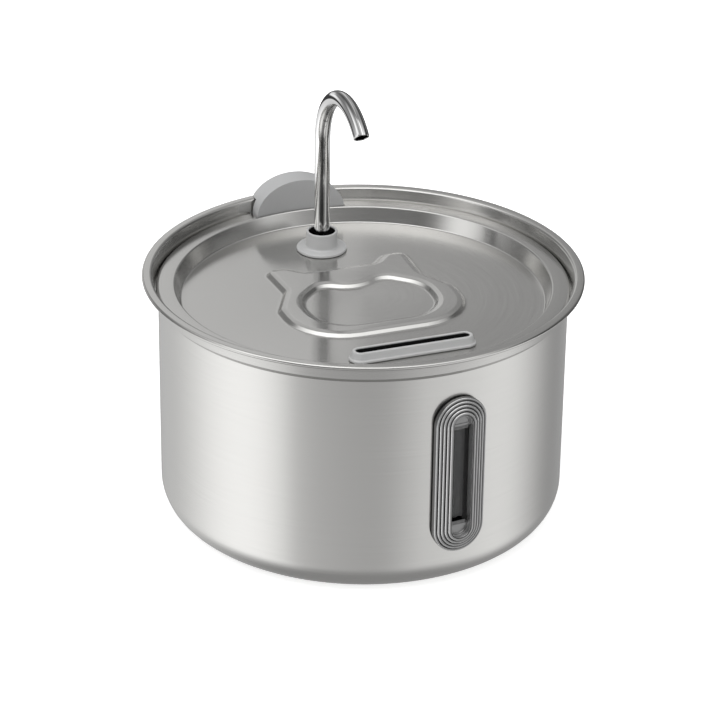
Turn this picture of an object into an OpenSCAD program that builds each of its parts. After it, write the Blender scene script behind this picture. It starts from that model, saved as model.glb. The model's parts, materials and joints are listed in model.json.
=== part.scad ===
// Pet water fountain: a round steel bowl with a level window, a dished lid, a bent spout, a drain
// slot over a filter, and a submersible pump.
// +Z is up, -Y is the front, and the origin is the middle of the bowl's flat bottom.

/* [Bowl] */
// Diameter of the straight wall
body_d = 204.4; // [190:0.2:230]
// Height of the rim's top above the table
bowl_h = 128.5; // [124:0.5:150]
// Thickness of the bowl's sheet
bowl_wall = 0.8; // [0.6:0.1:1.1]
// Outer radius of the bottom corner
corner_r = 17.3; // [12:0.1:18]
// Height of the flared band, from the crease to the rim's top
flare_h = 11.3; // [10.6:0.1:12]
// Width of the rolled rim, seen from above
lip_w = 5; // [4.4:0.1:5.4]
// Width of the ledge that carries the lid
ledge_w = 2.2; // [1.8:0.1:2.8]
// Thickness of the folded hem along the rim
hem_t = 2.2; // [1.8:0.1:2.6]
// Depth of the ledge that carries the lid, below the rim's top
ledge_drop = 9.1; // [8.8:0.1:9.4]
// How much the flared wall narrows from the lip down to the ledge
flare_run = 1.4; // [1:0.1:1.6]

/* [Lid] */
// Thickness of the lid's sheet
lid_wall = 0.8; // [0.6:0.1:1]
// Depth of the lid's flat ring below the rim's top
ring_drop = 6.2; // [5.6:0.1:6.6]
// Width of the lid's flat ring
ring_w = 9.2; // [8.6:0.1:10]
// Depth of the pan below the ring
pan_depth = 8; // [6:0.1:9]
// How much the step between ring and pan slopes inwards
step_run = 2.9; // [1.5:0.1:4]
// Bend radius of the lid's outer edge
edge_r = 1.8; // [1.2:0.1:2.2]
// Bend radius at the top and the foot of the step
bend_r = 1.4; // [1.1:0.1:1.8]

/* [Cat head relief] */
// Height of the raised head
relief_h = 2.4; // [1.2:0.1:3]
// Share of its outline that the head keeps at its top
relief_taper = 0.94; // [0.9:0.01:0.97]
// Half the width of the head at the cheeks
cheek_x = 46.5; // [43:0.5:50]
// Distance of the cheeks' top in front of the lid's middle
cheek_y = 3; // [0:0.5:6]
// Distance of the chin in front of the lid's middle
chin_y = 44; // [41:0.5:47]
// Half the width of the brow between the ears
brow_x = 15; // [12:0.5:18]
// Distance of the brow behind the lid's middle
brow_y = 34; // [30:0.5:36]
// Half the distance between the ears' corners
ear_x = 37.5; // [34:0.5:40]
// Distance of the ears' corners behind the lid's middle
ear_y = 42.5; // [40:0.5:44]
// Distance of the temples, under the ears, behind the lid's middle
temple_y = 13; // [10:0.5:16]
// Width of the raised band at the cheeks
cheek_band = 12.5; // [11:0.5:14]
// Width of the raised band at the chin
chin_band = 8.7; // [7:0.1:11]
// Half the distance between the sunk face's two top lobes
lobe_x = 18; // [16:0.5:20]
// Distance of the lobes' tops behind the lid's middle
lobe_y = 18.5; // [17:0.5:20]
// Distance of the dip between the lobes behind the lid's middle
dip_y = 10; // [8:0.5:12]

/* [Spout] */
// Outer diameter of the tube
tube_d = 8; // [7:0.1:9]
// Wall of the tube
tube_wall = 0.7; // [0.5:0.1:1]
// Distance of the spout from the pan's back edge
spout_edge = 30.6; // [29:0.2:32]
// Height of the spout's top above the rim
spout_rise = 82.5; // [60:0.5:110]
// Radius of the bend, to the tube's middle
bend_mid_r = 32; // [24:0.5:38]
// Angle of the bend
bend_angle = 137; // [110:1:160]
// Diameter of the stop ring on the tube
stop_d = 11.2; // [10.4:0.1:12.4]
// Height of the stop ring
stop_h = 1.5; // [1:0.1:2]

/* [Collar] */
// Diameter of the collar's flange
flange_d = 26; // [22:0.5:30]
// Thickness of the flange
flange_t = 1.6; // [1.2:0.1:2.4]
// Outer diameter of the barrel
barrel_d = 16.2; // [15.6:0.1:18]
// Wall of the barrel
barrel_wall = 1.3; // [1.1:0.1:1.5]
// Height of the barrel above the pan
barrel_h = 10.5; // [9:0.5:14]
// Depth of the collar below the pan
collar_depth = 8.3; // [6:0.1:10]
// Height of the seal in the collar
seal_h = 5.3; // [4:0.1:6]
// Height of the shelf that carries the seal, above the collar's foot
shelf_h = 5; // [3.5:0.1:5.5]

/* [Drain] */
// Length of the drain slot
slot_l = 58.5; // [50:0.5:62]
// Width of the drain slot
slot_w = 4.8; // [4.6:0.1:5.4]
// Distance of the slot's middle from the pan's front edge
slot_edge = 23.6; // [22:0.2:25]
// Height of the surround above the pan
surround_h = 5; // [3:0.1:7]
// Wall of the surround
surround_wall = 1.5; // [1.2:0.1:1.8]
// Width of the surround's foot, outside its wall
foot_w = 1.8; // [1:0.1:2.2]
// Depth of the surround's neck below the lid's underside
neck_depth = 4.8; // [3:0.1:5.2]

/* [Filter] */
// Length of the filter holder
holder_l = 73; // [71:0.5:76]
// Depth of the filter holder, front to back
holder_d = 37; // [34:0.5:40]
// Wall of the filter holder
holder_wall = 1.6; // [1.2:0.1:2]
// Height of the filter holder
holder_h = 19; // [18:0.5:22]
// Height of the filter
filter_h = 10.6; // [10.2:0.1:11]
// Wall of the filter's frame
frame_wall = 1.6; // [1.2:0.1:2.2]
// Thickness of each felt sheet
felt_t = 1.2; // [0.8:0.1:1.6]

/* [Cord guide] */
// Width of the guide
guide_w = 48; // [40:1:54]
// Height of the guide's dome above the rim
guide_rise = 10; // [8:0.5:14]
// Distance of the guide's outer face inside the rim's edge
guide_inset = 1.5; // [1.2:0.1:3]
// Width of the cord's way through the guide
cord_way_w = 6; // [5:0.1:8]
// Height of the cord's way above the rim
cord_way_h = 6; // [5:0.1:7]
// Wall in front of the cord's way
guide_front = 1.4; // [1:0.1:1.5]

/* [Window] */
// Width of the bezel beside the window's opening
bezel_side = 8.4; // [7.4:0.1:9]
// Width of the bezel above and below the window's opening
bezel_end = 7.5; // [7:0.1:9]
// How far the bezel stands out of the bowl's wall
bezel_proud = 5.3; // [4.6:0.1:6]
// Height of the window's middle above the table
window_z = 63.6; // [62:0.2:66]
// Turn of the window from the lid's centre line
window_turn = 6; // [0:1:20]
// Width of the window's clear opening
view_w = 10.2; // [8:0.1:11]
// Height of the window's clear opening
view_h = 66; // [50:0.5:70]
// Height of the half-round screw boss at each end of the opening
boss_h = 6.5; // [5.5:0.1:8]
// Depth of the bosses behind the bezel's front
boss_recess = 2.6; // [2:0.1:3]
// Thickness of the window's lens
lens_t = 2.4; // [1.6:0.1:2.4]
// Thickness of the window's gaskets
gasket_t = 1; // [0.6:0.1:1.2]
// Thickness of the clamp frame inside the bowl
clamp_t = 2.7; // [2:0.1:4]
// Radius of the window screws' thread
screw_r = 1.3; // [1:0.05:1.5]

/* [Pump] */
// Width of the pump
pump_w = 49; // [47:0.5:51]
// Height of the pump
pump_h = 36; // [36:0.5:40]
// Length of the pump without its intake cover
pump_l = 37.5; // [37.5:0.5:39]
// Wall of the pump's cover and cavity
pump_wall = 1.6; // [1.4:0.1:1.9]
// Height of the pump above the bowl's floor
cup_h = 4.2; // [3.4:0.1:6]
// Radius of a suction cup
cup_r = 6; // [5:0.1:6.5]
// Radius of the impeller's chamber
chamber_r = 14; // [13.4:0.1:14.4]
// Length of the impeller's chamber
chamber_l = 13; // [12.5:0.1:13.5]
// Number of the impeller's vanes
vanes = 6; // [4:1:8]
// Radius of the rotor's magnet
magnet_r = 7.9; // [7:0.1:8.1]
// Length of the rotor's magnet
magnet_l = 12.6; // [11:0.1:13]
// Radius of the rotor's shaft
shaft_r = 1.2; // [0.9:0.05:1.5]
// Length of the intake cover
cover_l = 11.3; // [10.5:0.1:14]
// Thickness of the intake foam
foam_t = 7; // [5:0.1:7.3]
// Radius of the flow dial
dial_r = 8; // [6:0.5:9]
// Length of the outlet hose
hose_l = 38; // [34:0.5:42]
// Wall of the outlet hose
hose_wall = 2.4; // [1.6:0.1:3]

/* [Hidden] */
$fn = 96;

// Clearances: between pieces that lift apart, and between pieces that are fixed together
seat_gap = 0.2;
side_gap = 0.3;
face_gap = 0.05;
run_gap = 0.05;
press_gap = 0.02;
// A cut runs this far past the face that it opens
past = 1;
// Two cuts that meet run this far into each other
overlap = 0.01;
// Segments of each rounded corner in a profile
corner_steps = 8;
// Sides of a curve that is as wide as the bowl
wide_fn = 240;

// Bowl, as radii and heights
body_r = body_d / 2;
inner_r = body_r - bowl_wall;
throat_r = inner_r + ledge_w;
lip_r = throat_r + flare_run;
rim_r = lip_r + lip_w;
crease_z = bowl_h - flare_h;
ledge_z = bowl_h - ledge_drop;
lip_bend = 1.6;
shoulder_bend = 1;
crease_bend = 0.6;
ledge_bend = 0.4;
// The hem's edge is nearly a half round
hem_bend = hem_t * 0.49;

// Lid
lid_fit = 0.4;
lid_r = throat_r - lid_fit;
skirt_z = ledge_z + seat_gap;
ring_z = bowl_h - ring_drop;
ring_r = lid_r - ring_w;
pan_z = ring_z - pan_depth;
pan_r = ring_r - step_run;
under_z = pan_z - lid_wall;
spout_y = pan_r - spout_edge;
slot_y = pan_r - slot_edge;

// Bends of the cat head's outline and of its sunk face's outline
brow_bend = 6;
ear_bend = 7;
temple_bend = 4;
cheek_bend = 9;
jaw_bend = 31;
lobe_bend = 9;
dip_bend = 14;
side_bend = 10;
face_jaw_bend = 20;

// Collar, seal and spout, stacked up from the collar's foot
collar_foot_z = pan_z - collar_depth;
barrel_r = barrel_d / 2;
bore_r = barrel_r - barrel_wall;
shelf_z = collar_foot_z + shelf_h;
tube_r = tube_d / 2;
shelf_clear = 1.2;
shelf_r = tube_r + shelf_clear;
collar_edge = 0.3;
seal_z = shelf_z + seat_gap;
stop_z = seal_z + seal_h + seat_gap;
bend_z = bowl_h + spout_rise - bend_mid_r - tube_r;

// Filter, hung under the lid
holder_z = under_z - seat_gap - holder_h;
filter_z = holder_z + holder_wall + seat_gap;
filter_l = holder_l - 2 * (holder_wall + side_gap);
filter_d = holder_d - holder_wall - side_gap;
filter_y = -slot_y + (holder_wall + side_gap) / 2;
// The filter's layers, as heights above the filter's foot
filter_floor = 1;
filter_bed = (filter_h - filter_floor - 2 * felt_t - 4 * side_gap) / 2;
resin_z = filter_floor + felt_t + side_gap;
carbon_z = resin_z + filter_bed + side_gap;
top_felt_z = carbon_z + filter_bed + side_gap;

// Cord guide
guide_step_gap = 1.6;
guide_r = ring_r + guide_step_gap;
guide_back_r = rim_r - guide_inset;
notch_gap = 0.6;

// Window, as distances from the bowl's axis
bezel_back = body_r + gasket_t + face_gap;
bezel_front = body_r + bezel_proud;
bezel_w = view_w + 2 * bezel_side;
bezel_h = view_h + 2 * bezel_end;
bezel_rings = 4;
bezel_ring_in = 1.7;
bezel_ring_up = 0.8;
lens_lap = 3;
hole_w = view_w + 2 * lens_lap;
hole_h = view_h + 2 * lens_lap;
lens_gap = 0.2;
gasket_inset = 0.8;
lens_front = sqrt(pow(bezel_back, 2) - pow(hole_w / 2, 2)) - face_gap;
lens_back = lens_front - lens_t;
clamp_front = inner_r - gasket_t - face_gap;
clamp_back = clamp_front - clamp_t;
screw_dz = (view_h - boss_h) / 2;
screw_bite = 1.2;
screw_head_r = 2.2;
screw_head_h = 1.5;

// Pump: the motor's axis is parallel to Y and the outlet stands under the spout
pump_z = bowl_wall + cup_h;
motor_z = pump_z + pump_h / 2;
outlet_y = 9;
pump_y = spout_y - outlet_y;
pump_end = pump_y + pump_l;
cover_seat = 2.5;
cover_seat_r = chamber_r + cover_seat;
chamber_y = pump_y + cover_seat;
well_y = chamber_y + chamber_l;
magnet_gap = 0.5;
well_r = magnet_r + magnet_gap;
well_wall = 1.2;
cavity_y = well_y + well_wall;
pocket_step = 0.6;
plate_t = 2.5;
board_t = 1.2;
plate_y = pump_end - plate_t - 2 * face_gap;
board_y = plate_y - board_t - pocket_step;
cavity_x = pump_w / 2 - pump_wall - 2 * pocket_step;
cavity_h = pump_h / 2 - pump_wall - 1.5 * pocket_step;
pump_edge_r = 3;
nipple_h = 11;
nipple_bore_r = 2.8;
hose_z = pump_z + pump_h + seat_gap;
tube_in_hose = 14;
tube_end_z = hose_z + hose_l - tube_in_hose;
cup_x = 16;
cup_front = 5.5;
cup_rear = 24.5;
cup_stem_r = 2;
cup_dish_h = 1.4;
cup_lip_t = 0.5;
plug_depth = 2;
core_t = 10;
core_half_h = 14.5;
yoke_h = 4;
limb_w = 4;
limb_x = 15.5;
coil_t = 1.5;
core_y = cavity_y + coil_t + side_gap;
core_bore_r = well_r + well_wall + seat_gap;
shoe_x = 8;
// The well's floor holds the shaft's rear boot, the chamber cover holds the front one
boot_r = 2.6;
boot_l = 1.8;
front_boot_y = chamber_y + face_gap;
magnet_y = well_y - side_gap;
rear_boot_y = magnet_y + magnet_l + seat_gap;
well_end = rear_boot_y + boot_l + face_gap + well_wall;
hub_r = 3.2;
vane_t = 1.2;
vane_tip = 1.7;
disc_back = 0.4;
gland_x = 13;
gland_z = motor_z + 9;
gland_r = 4.4;
gland_bore_r = 2;
gland_step = 1.2;
gland_nose_l = 6;
ring_cord_r = 0.75;
ring_mid_r = (chamber_r + cover_seat_r) / 2;
cover_y = pump_y - seat_gap - cover_l;
dial_stem_r = 3;
dial_t = 2.2;
dial_grip_w = 2.4;
dial_grip_h = 1.9;
clip_t = 0.8;
intake_slots = 4;
intake_slot_w = 2.2;
intake_pitch = 3.6;
intake_slot_x = 10;

// One rounded corner: points of an arc of radius p[2] at p, between its neighbours a and b
function unit(v) = v / norm(v);
function xy(p) = [p[0], p[1]];
function corner(a, p, b, steps) =
    let (u = unit(xy(a) - xy(p)), v = unit(xy(b) - xy(p)), half = acos(u * v) / 2)
    p[2] == 0 ? [xy(p)] :
    let (reach = p[2] / tan(half), mid = xy(p) + unit(u + v) * p[2] / sin(half),
        from = xy(p) + u * reach - mid, to = xy(p) + v * reach - mid,
        start = atan2(from[1], from[0]), turn = atan2(to[1], to[0]) - start,
        sweep = turn > 180 ? turn - 360 : turn < -180 ? turn + 360 : turn)
    [for (i = [0:steps]) mid + p[2] * [cos(start + sweep * i / steps), sin(start + sweep * i / steps)]];

// A closed outline from corners given as [x, y, radius]
function rounded(pts, steps = corner_steps) =
    let (n = len(pts))
    [for (i = [0:n - 1]) each corner(pts[(i + n - 1) % n], pts[i], pts[(i + 1) % n], steps)];

// The same corners on the other side of the Y axis, in reverse order
function mirrored(pts) = [for (i = [len(pts) - 1:-1:0]) [-pts[i][0], pts[i][1], pts[i][2]]];

// A plate outline with round ends, long along X
module stadium(l, w) {
    square([l - w, w], center = true);
    for (side = [-1, 1])
        translate([side * (l - w) / 2, 0]) circle(d = w);
}

// A cylinder along +Y from y0 to y1
module rod(r, y0, y1, x = 0, z = motor_z) {
    translate([x, y0, z]) rotate([-90, 0, 0]) cylinder(r = r, h = y1 - y0);
}

// A block given by its lowest corner and its highest corner
module block(low, high) {
    translate(low) cube(high - low);
}

// A column around the bowl's axis, from below the table to above the cord guide
module column(r) {
    translate([0, 0, -past]) cylinder(r = r, h = bowl_h + guide_rise + 2 * past, $fn = wide_fn);
}

// ---------------------------------------------------------------- bowl and window

module bowl_shell() {
    shoulder_r = throat_r + bowl_wall;
    rotate_extrude($fn = wide_fn)
        polygon(rounded([
            [0, 0, 0], [body_r, 0, corner_r], [body_r, crease_z, crease_bend],
            [shoulder_r, crease_z + shoulder_r - body_r, shoulder_bend],
            [lip_r + bowl_wall, bowl_h - hem_t, crease_bend],
            [rim_r, bowl_h - hem_t, hem_bend], [rim_r, bowl_h, hem_bend],
            [lip_r, bowl_h, lip_bend], [throat_r, ledge_z, 0], [inner_r, ledge_z, ledge_bend],
            [inner_r, bowl_wall, corner_r - bowl_wall], [0, bowl_wall, 0]]));
}

// A prism with round ends across the bowl's wall, between two distances from the axis
module window_prism(w, h, near, far) {
    translate([0, -near, window_z]) rotate([90, 0, 0]) linear_extrude(height = far - near)
        rotate(90) stadium(h, w);
}

// A gasket around the bowl's window hole, between two radii
module window_ring(inner, outer) {
    difference() {
        intersection() {
            window_prism(bezel_w - 2 * gasket_inset, bezel_h - 2 * gasket_inset,
                inner / 2, outer + past);
            column(outer);
        }
        column(inner);
        window_prism(hole_w, hole_h, inner / 2 - past, outer + 2 * past);
    }
}

module screw_places() {
    for (side = [-1, 1])
        translate([0, 0, window_z + side * screw_dz]) children();
}

module bowl() {
    color([0.8, 0.8, 0.79])
    difference() {
        bowl_shell();
        rotate(window_turn) window_prism(hole_w, hole_h, inner_r / 2, bezel_front);
    }
}

module window_bezel() {
    base = bezel_front - (bezel_rings - 1) * bezel_ring_up;
    color([0.52, 0.53, 0.54])
    rotate(window_turn)
    difference() {
        for (i = [0:bezel_rings - 1])
            window_prism(bezel_w - 2 * i * bezel_ring_in, bezel_h - 2 * i * bezel_ring_in,
                inner_r, base + i * bezel_ring_up);
        column(bezel_back);
        difference() {
            window_prism(view_w, view_h, inner_r - past, bezel_front + past);
            screw_bosses();
        }
        screw_places() rod(screw_r + face_gap, -bezel_back - screw_bite - seat_gap, 0, z = 0);
    }
}

// The two ends of the window's opening, which stay solid for the screws
module screw_bosses() {
    difference() {
        window_prism(view_w + past, view_h + past, inner_r / 2, bezel_front - boss_recess);
        block([-view_w, -bezel_front, window_z - view_h / 2 + boss_h],
            [view_w, 0, window_z + view_h / 2 - boss_h]);
    }
}

module window_outer_gasket() {
    color([0.25, 0.25, 0.26])
    rotate(window_turn)
        window_ring(body_r + face_gap, body_r + gasket_t);
}

module window_inner_gasket() {
    color([0.25, 0.25, 0.26])
    rotate(window_turn)
        window_ring(inner_r - gasket_t, inner_r - face_gap);
}

module window_lens() {
    color([0.75, 0.78, 0.8, 0.4])
    rotate(window_turn)
    difference() {
        window_prism(hole_w - 2 * lens_gap, hole_h - 2 * lens_gap, lens_back, lens_front);
        screw_places() rod(screw_r + face_gap, -bezel_front, 0, z = 0);
    }
}

module window_clamp_frame() {
    color([0.3, 0.3, 0.31])
    rotate(window_turn)
    difference() {
        intersection() {
            window_prism(bezel_w, bezel_h, clamp_back, inner_r);
            column(min(clamp_front, lens_back - face_gap));
        }
        window_prism(view_w, view_h - 2 * boss_h, clamp_back - past, inner_r);
        screw_places() rod(screw_r + face_gap, -bezel_front, 0, z = 0);
    }
}

module window_screws() {
    color([0.7, 0.7, 0.7])
    rotate(window_turn)
    screw_places() {
        rod(screw_r, -bezel_back - screw_bite, -clamp_back + face_gap, z = 0);
        rod(screw_head_r, -clamp_back + face_gap, -clamp_back + face_gap + screw_head_h, z = 0);
    }
}

// ---------------------------------------------------------------- cord guide

module cord_guide() {
    dome_steps = 24;
    dome_z = ring_z;
    dome_h = bowl_h + guide_rise - dome_z;
    half = guide_w / 2;
    arc = [for (i = [0:dome_steps])
        [half * cos(180 * i / dome_steps), dome_z + dome_h * sin(180 * i / dome_steps)]];
    color([0.6, 0.6, 0.6])
    difference() {
        intersection() {
            translate([0, rim_r, 0]) rotate([90, 0, 0]) linear_extrude(height = rim_r / 2)
                polygon(concat([[-half, skirt_z], [half, skirt_z]], arc));
            column(guide_back_r);
        }
        column(guide_r);
        // the rim passes under the guide's outer part
        difference() {
            cylinder(r = rim_r, h = bowl_h + seat_gap, $fn = wide_fn);
            column(lid_r);
        }
        block([-cord_way_w / 2, guide_r + guide_front, 0],
            [cord_way_w / 2, rim_r, bowl_h + cord_way_h]);
    }
}

// ---------------------------------------------------------------- lid

module head_outline() {
    temple_x = ear_x - 1;
    half = [[brow_x, brow_y, brow_bend], [ear_x, ear_y, ear_bend],
        [temple_x, temple_y, temple_bend], [cheek_x, -cheek_y, cheek_bend],
        [cheek_x, -chin_y, jaw_bend]];
    polygon(rounded(concat(half, mirrored(half))));
}

module face_outline() {
    side_x = cheek_x - cheek_band;
    half = [[lobe_x, lobe_y, lobe_bend], [side_x, -cheek_y, side_bend],
        [side_x, chin_band - chin_y, face_jaw_bend]];
    polygon(rounded(concat([[0, dip_y, dip_bend]], half, mirrored(half))));
}

// The raised head with its sunk face, from a depth below the pan up to the relief's height
module relief(depth) {
    difference() {
        union() {
            translate([0, 0, pan_z]) linear_extrude(height = relief_h, scale = relief_taper)
                head_outline();
            translate([0, 0, pan_z - depth]) linear_extrude(height = depth) head_outline();
        }
        translate([0, 0, pan_z])
            linear_extrude(height = relief_h + overlap, scale = 2 - relief_taper) face_outline();
        translate([0, 0, pan_z - depth - past]) linear_extrude(height = depth + past + overlap)
            face_outline();
    }
}

module lid() {
    slope = step_run / pan_depth;
    shift = lid_wall * sqrt(1 + slope * slope) - lid_wall * slope;
    color([0.72, 0.72, 0.71])
    difference() {
        union() {
            rotate_extrude($fn = wide_fn)
                polygon(rounded([
                    [0, pan_z, 0], [pan_r, pan_z, bend_r], [ring_r, ring_z, bend_r],
                    [lid_r, ring_z, edge_r], [lid_r, skirt_z, 0], [lid_r - lid_wall, skirt_z, 0],
                    [lid_r - lid_wall, ring_z - lid_wall, edge_r - lid_wall],
                    [ring_r + shift, ring_z - lid_wall, bend_r - lid_wall],
                    [pan_r + shift, under_z, bend_r + lid_wall], [0, under_z, 0]]));
            relief(lid_wall);
        }
        translate([0, 0, -lid_wall]) relief(lid_wall + past);
        translate([0, spout_y, under_z - past])
            cylinder(r = barrel_r + side_gap, h = lid_wall + 2 * past);
        translate([0, -slot_y, under_z - past]) linear_extrude(height = lid_wall + 2 * past)
            neck_hole();
        // the notch that the cord guide stands in
        difference() {
            block([-guide_w / 2 - notch_gap, 0, skirt_z - past],
                [guide_w / 2 + notch_gap, rim_r, ring_z + past]);
            column(guide_r - side_gap);
        }
    }
}

// ---------------------------------------------------------------- spout

module spout_collar() {
    top = pan_z + barrel_h;
    foot = pan_z + seat_gap;
    color([0.66, 0.67, 0.67])
    translate([0, spout_y, 0])
    rotate_extrude()
        polygon(rounded([
            [bore_r, top, collar_edge], [barrel_r, top, collar_edge],
            [barrel_r, foot + flange_t, 3 * collar_edge],
            [flange_d / 2, foot + flange_t, 2 * collar_edge], [flange_d / 2, foot, collar_edge],
            [barrel_r, foot, 0], [barrel_r, collar_foot_z, collar_edge],
            [shelf_r, collar_foot_z, 0], [shelf_r, shelf_z, 0],
            [bore_r, shelf_z, 0]]));
}

module spout_seal() {
    color([0.12, 0.12, 0.12])
    translate([0, spout_y, seal_z])
    difference() {
        cylinder(r = bore_r - side_gap, h = seal_h);
        translate([0, 0, -past]) cylinder(r = tube_r + run_gap, h = seal_h + 2 * past);
    }
}

module tube_section() {
    difference() {
        circle(r = tube_r);
        circle(r = tube_r - tube_wall);
    }
}

module spout_tube() {
    color([0.8, 0.8, 0.82]) {
        translate([0, spout_y, tube_end_z]) linear_extrude(height = bend_z - tube_end_z)
            tube_section();
        translate([0, spout_y - bend_mid_r, bend_z]) rotate([90, 0, 90])
            rotate_extrude(angle = bend_angle) translate([bend_mid_r, 0]) tube_section();
    }
}

module spout_stop_ring() {
    color([0.75, 0.75, 0.77])
    translate([0, spout_y, stop_z])
    difference() {
        cylinder(d = stop_d, h = stop_h);
        translate([0, 0, -past]) cylinder(r = tube_r + press_gap, h = stop_h + 2 * past);
    }
}

// ---------------------------------------------------------------- drain and filter

// The outline of the hole that the surround's neck stands in
module neck_hole() {
    stadium(slot_l + 2 * (surround_wall + side_gap), slot_w + 2 * (surround_wall + side_gap));
}

module drain_surround() {
    foot = pan_z + seat_gap;
    neck_l = slot_l + 2 * surround_wall;
    neck_w = slot_w + 2 * surround_wall;
    neck_h = neck_depth + lid_wall + surround_h;
    // two treads around the slot, each as [width outside the neck, share of the surround's height]
    treads = [[foot_w, 0.24], [foot_w / 2, 0.6]];
    color([0.66, 0.67, 0.67])
    translate([0, -slot_y, 0])
    difference() {
        union() {
            for (tread = treads)
                translate([0, 0, foot]) linear_extrude(height = surround_h * tread[1])
                    stadium(neck_l + 2 * tread[0], neck_w + 2 * tread[0]);
            translate([0, 0, under_z - neck_depth]) linear_extrude(height = neck_h)
                stadium(neck_l, neck_w);
        }
        translate([0, 0, under_z - neck_depth - past]) linear_extrude(height = neck_h + 2 * past)
            stadium(slot_l, slot_w);
    }
}

module filter_holder() {
    front = -slot_y - holder_d / 2;
    back = -slot_y + holder_d / 2;
    half = holder_l / 2;
    top = under_z - seat_gap;
    drains = 8;
    drain_w = 4;
    pitch = (holder_l - 4 * holder_wall) / drains;
    color([0.85, 0.86, 0.87])
    difference() {
        block([-half, front, holder_z], [half, back, top]);
        block([-half + holder_wall, front + holder_wall, holder_z + holder_wall],
            [half - holder_wall, back + past, top - holder_wall]);
        translate([0, -slot_y, top - holder_wall - past])
            linear_extrude(height = holder_wall + 2 * past) neck_hole();
        for (i = [0:drains - 1])
            translate([pitch * (i - (drains - 1) / 2), -slot_y, holder_z - past])
                linear_extrude(height = holder_wall + 2 * past)
                    rotate(90) stadium(holder_d - 4 * holder_wall, drain_w);
    }
}

// A plate that fills the filter's frame, between two heights above the filter's foot
module filter_layer(low, high) {
    l = filter_l - 2 * (frame_wall + side_gap);
    d = filter_d - 2 * (frame_wall + side_gap);
    translate([0, filter_y, filter_z + (low + high) / 2]) cube([l, d, high - low], center = true);
}

module filter_frame() {
    rail = 2;
    rail_t = 0.8;
    color([0.9, 0.9, 0.9])
    difference() {
        translate([0, filter_y, filter_z + filter_h / 2])
            cube([filter_l, filter_d, filter_h], center = true);
        translate([0, filter_y, filter_z + rail_t + filter_h])
            cube([filter_l - 2 * frame_wall, filter_d - 2 * frame_wall, 2 * filter_h], center = true);
        for (side = [-1, 1])
            translate([side * filter_l / 4, filter_y, filter_z])
                cube([filter_l / 2 - frame_wall - 2 * rail, filter_d - 2 * (frame_wall + rail), 4 * rail_t],
                    center = true);
    }
}

module filter_bottom_felt() {
    color([0.95, 0.95, 0.93]) filter_layer(filter_floor, filter_floor + felt_t);
}

module filter_resin() {
    color([0.85, 0.65, 0.35]) filter_layer(resin_z, resin_z + filter_bed);
}

module filter_carbon() {
    color([0.1, 0.1, 0.1]) filter_layer(carbon_z, carbon_z + filter_bed);
}

module filter_top_felt() {
    color([0.95, 0.95, 0.93]) filter_layer(top_felt_z, top_felt_z + felt_t);
}

// ---------------------------------------------------------------- pump

module pump_outline() {
    half = [[pump_w / 2, -pump_h / 2, pump_edge_r], [pump_w / 2, pump_h / 2, pump_edge_r]];
    polygon(rounded(concat(half, mirrored(half))));
}

module pump_housing() {
    top = pump_z + pump_h;
    seat_r = ring_cord_r + 2 * face_gap;
    color([0.16, 0.16, 0.17])
    difference() {
        union() {
            translate([0, pump_y, motor_z]) rotate([-90, 0, 0]) linear_extrude(height = pump_l)
                pump_outline();
            translate([0, spout_y, motor_z]) cylinder(r = tube_r, h = top + nipple_h - motor_z);
        }
        rod(cover_seat_r, pump_y - past, chamber_y);
        rod(chamber_r, pump_y - past, well_y);
        rod(well_r, pump_y - past, well_end - well_wall);
        translate([0, spout_y, motor_z + chamber_r / 2])
            cylinder(r = nipple_bore_r, h = pump_h + nipple_h);
        // the seat of the O-ring
        difference() {
            rod(ring_mid_r + seat_r, chamber_y - past, chamber_y + 2 * seat_r);
            rod(ring_mid_r - seat_r, chamber_y - 2 * past, chamber_y + 3 * seat_r);
        }
        // the dry space of the stator, around the rotor's well
        difference() {
            block([-cavity_x, cavity_y, motor_z - cavity_h],
                [cavity_x, pump_end + past, motor_z + cavity_h]);
            rod(well_r + well_wall, cavity_y - past, well_end);
        }
        pocket(board_y, 1);
        pocket(plate_y, 2);
        cup_places() translate([0, 0, -past])
            cylinder(r = cup_stem_r + face_gap, h = plug_depth + past);
    }
}

// The step-wise wider mouth of the dry space, which carries the board and the back plate
module pocket(y, steps) {
    x = cavity_x + steps * pocket_step;
    h = cavity_h + steps * pocket_step;
    block([-x, y, motor_z - h], [x, pump_end + past, motor_z + h]);
}

// A plate in a step of the mouth
module pocket_plate(y, t, steps) {
    x = cavity_x + steps * pocket_step - face_gap;
    h = cavity_h + steps * pocket_step - face_gap;
    block([-x, y + face_gap, motor_z - h], [x, y + t, motor_z + h]);
}

module cup_places() {
    for (x = [-cup_x, cup_x], y = [cup_front, cup_rear])
        translate([x, pump_y + y, pump_z]) children();
}

module chamber_cover() {
    eye_r = 8;
    spoke_w = 2;
    spokes = 3;
    wall = 1.4;
    hub_r = boot_r + wall;
    face = chamber_y - face_gap;
    front = pump_y + seat_gap;
    color([0.2, 0.2, 0.21])
    difference() {
        union() {
            difference() {
                rod(cover_seat_r - seat_gap, front, face);
                rod(eye_r, front - past, face + past);
            }
            rod(hub_r, front, chamber_y + boot_l);
            for (i = [0:spokes - 1])
                translate([0, front, motor_z]) rotate([0, 360 * i / spokes, 0])
                    block([-spoke_w / 2, 0, boot_r + wall / 2],
                        [spoke_w / 2, face - front, eye_r + wall / 2]);
        }
        rod(boot_r + face_gap, chamber_y, chamber_y + boot_l + past);
    }
}

module chamber_o_ring() {
    color([0.08, 0.08, 0.08])
    translate([0, chamber_y + ring_cord_r + press_gap, motor_z]) rotate([-90, 0, 0])
        rotate_extrude() translate([ring_mid_r, 0]) circle(r = ring_cord_r);
}

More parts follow.
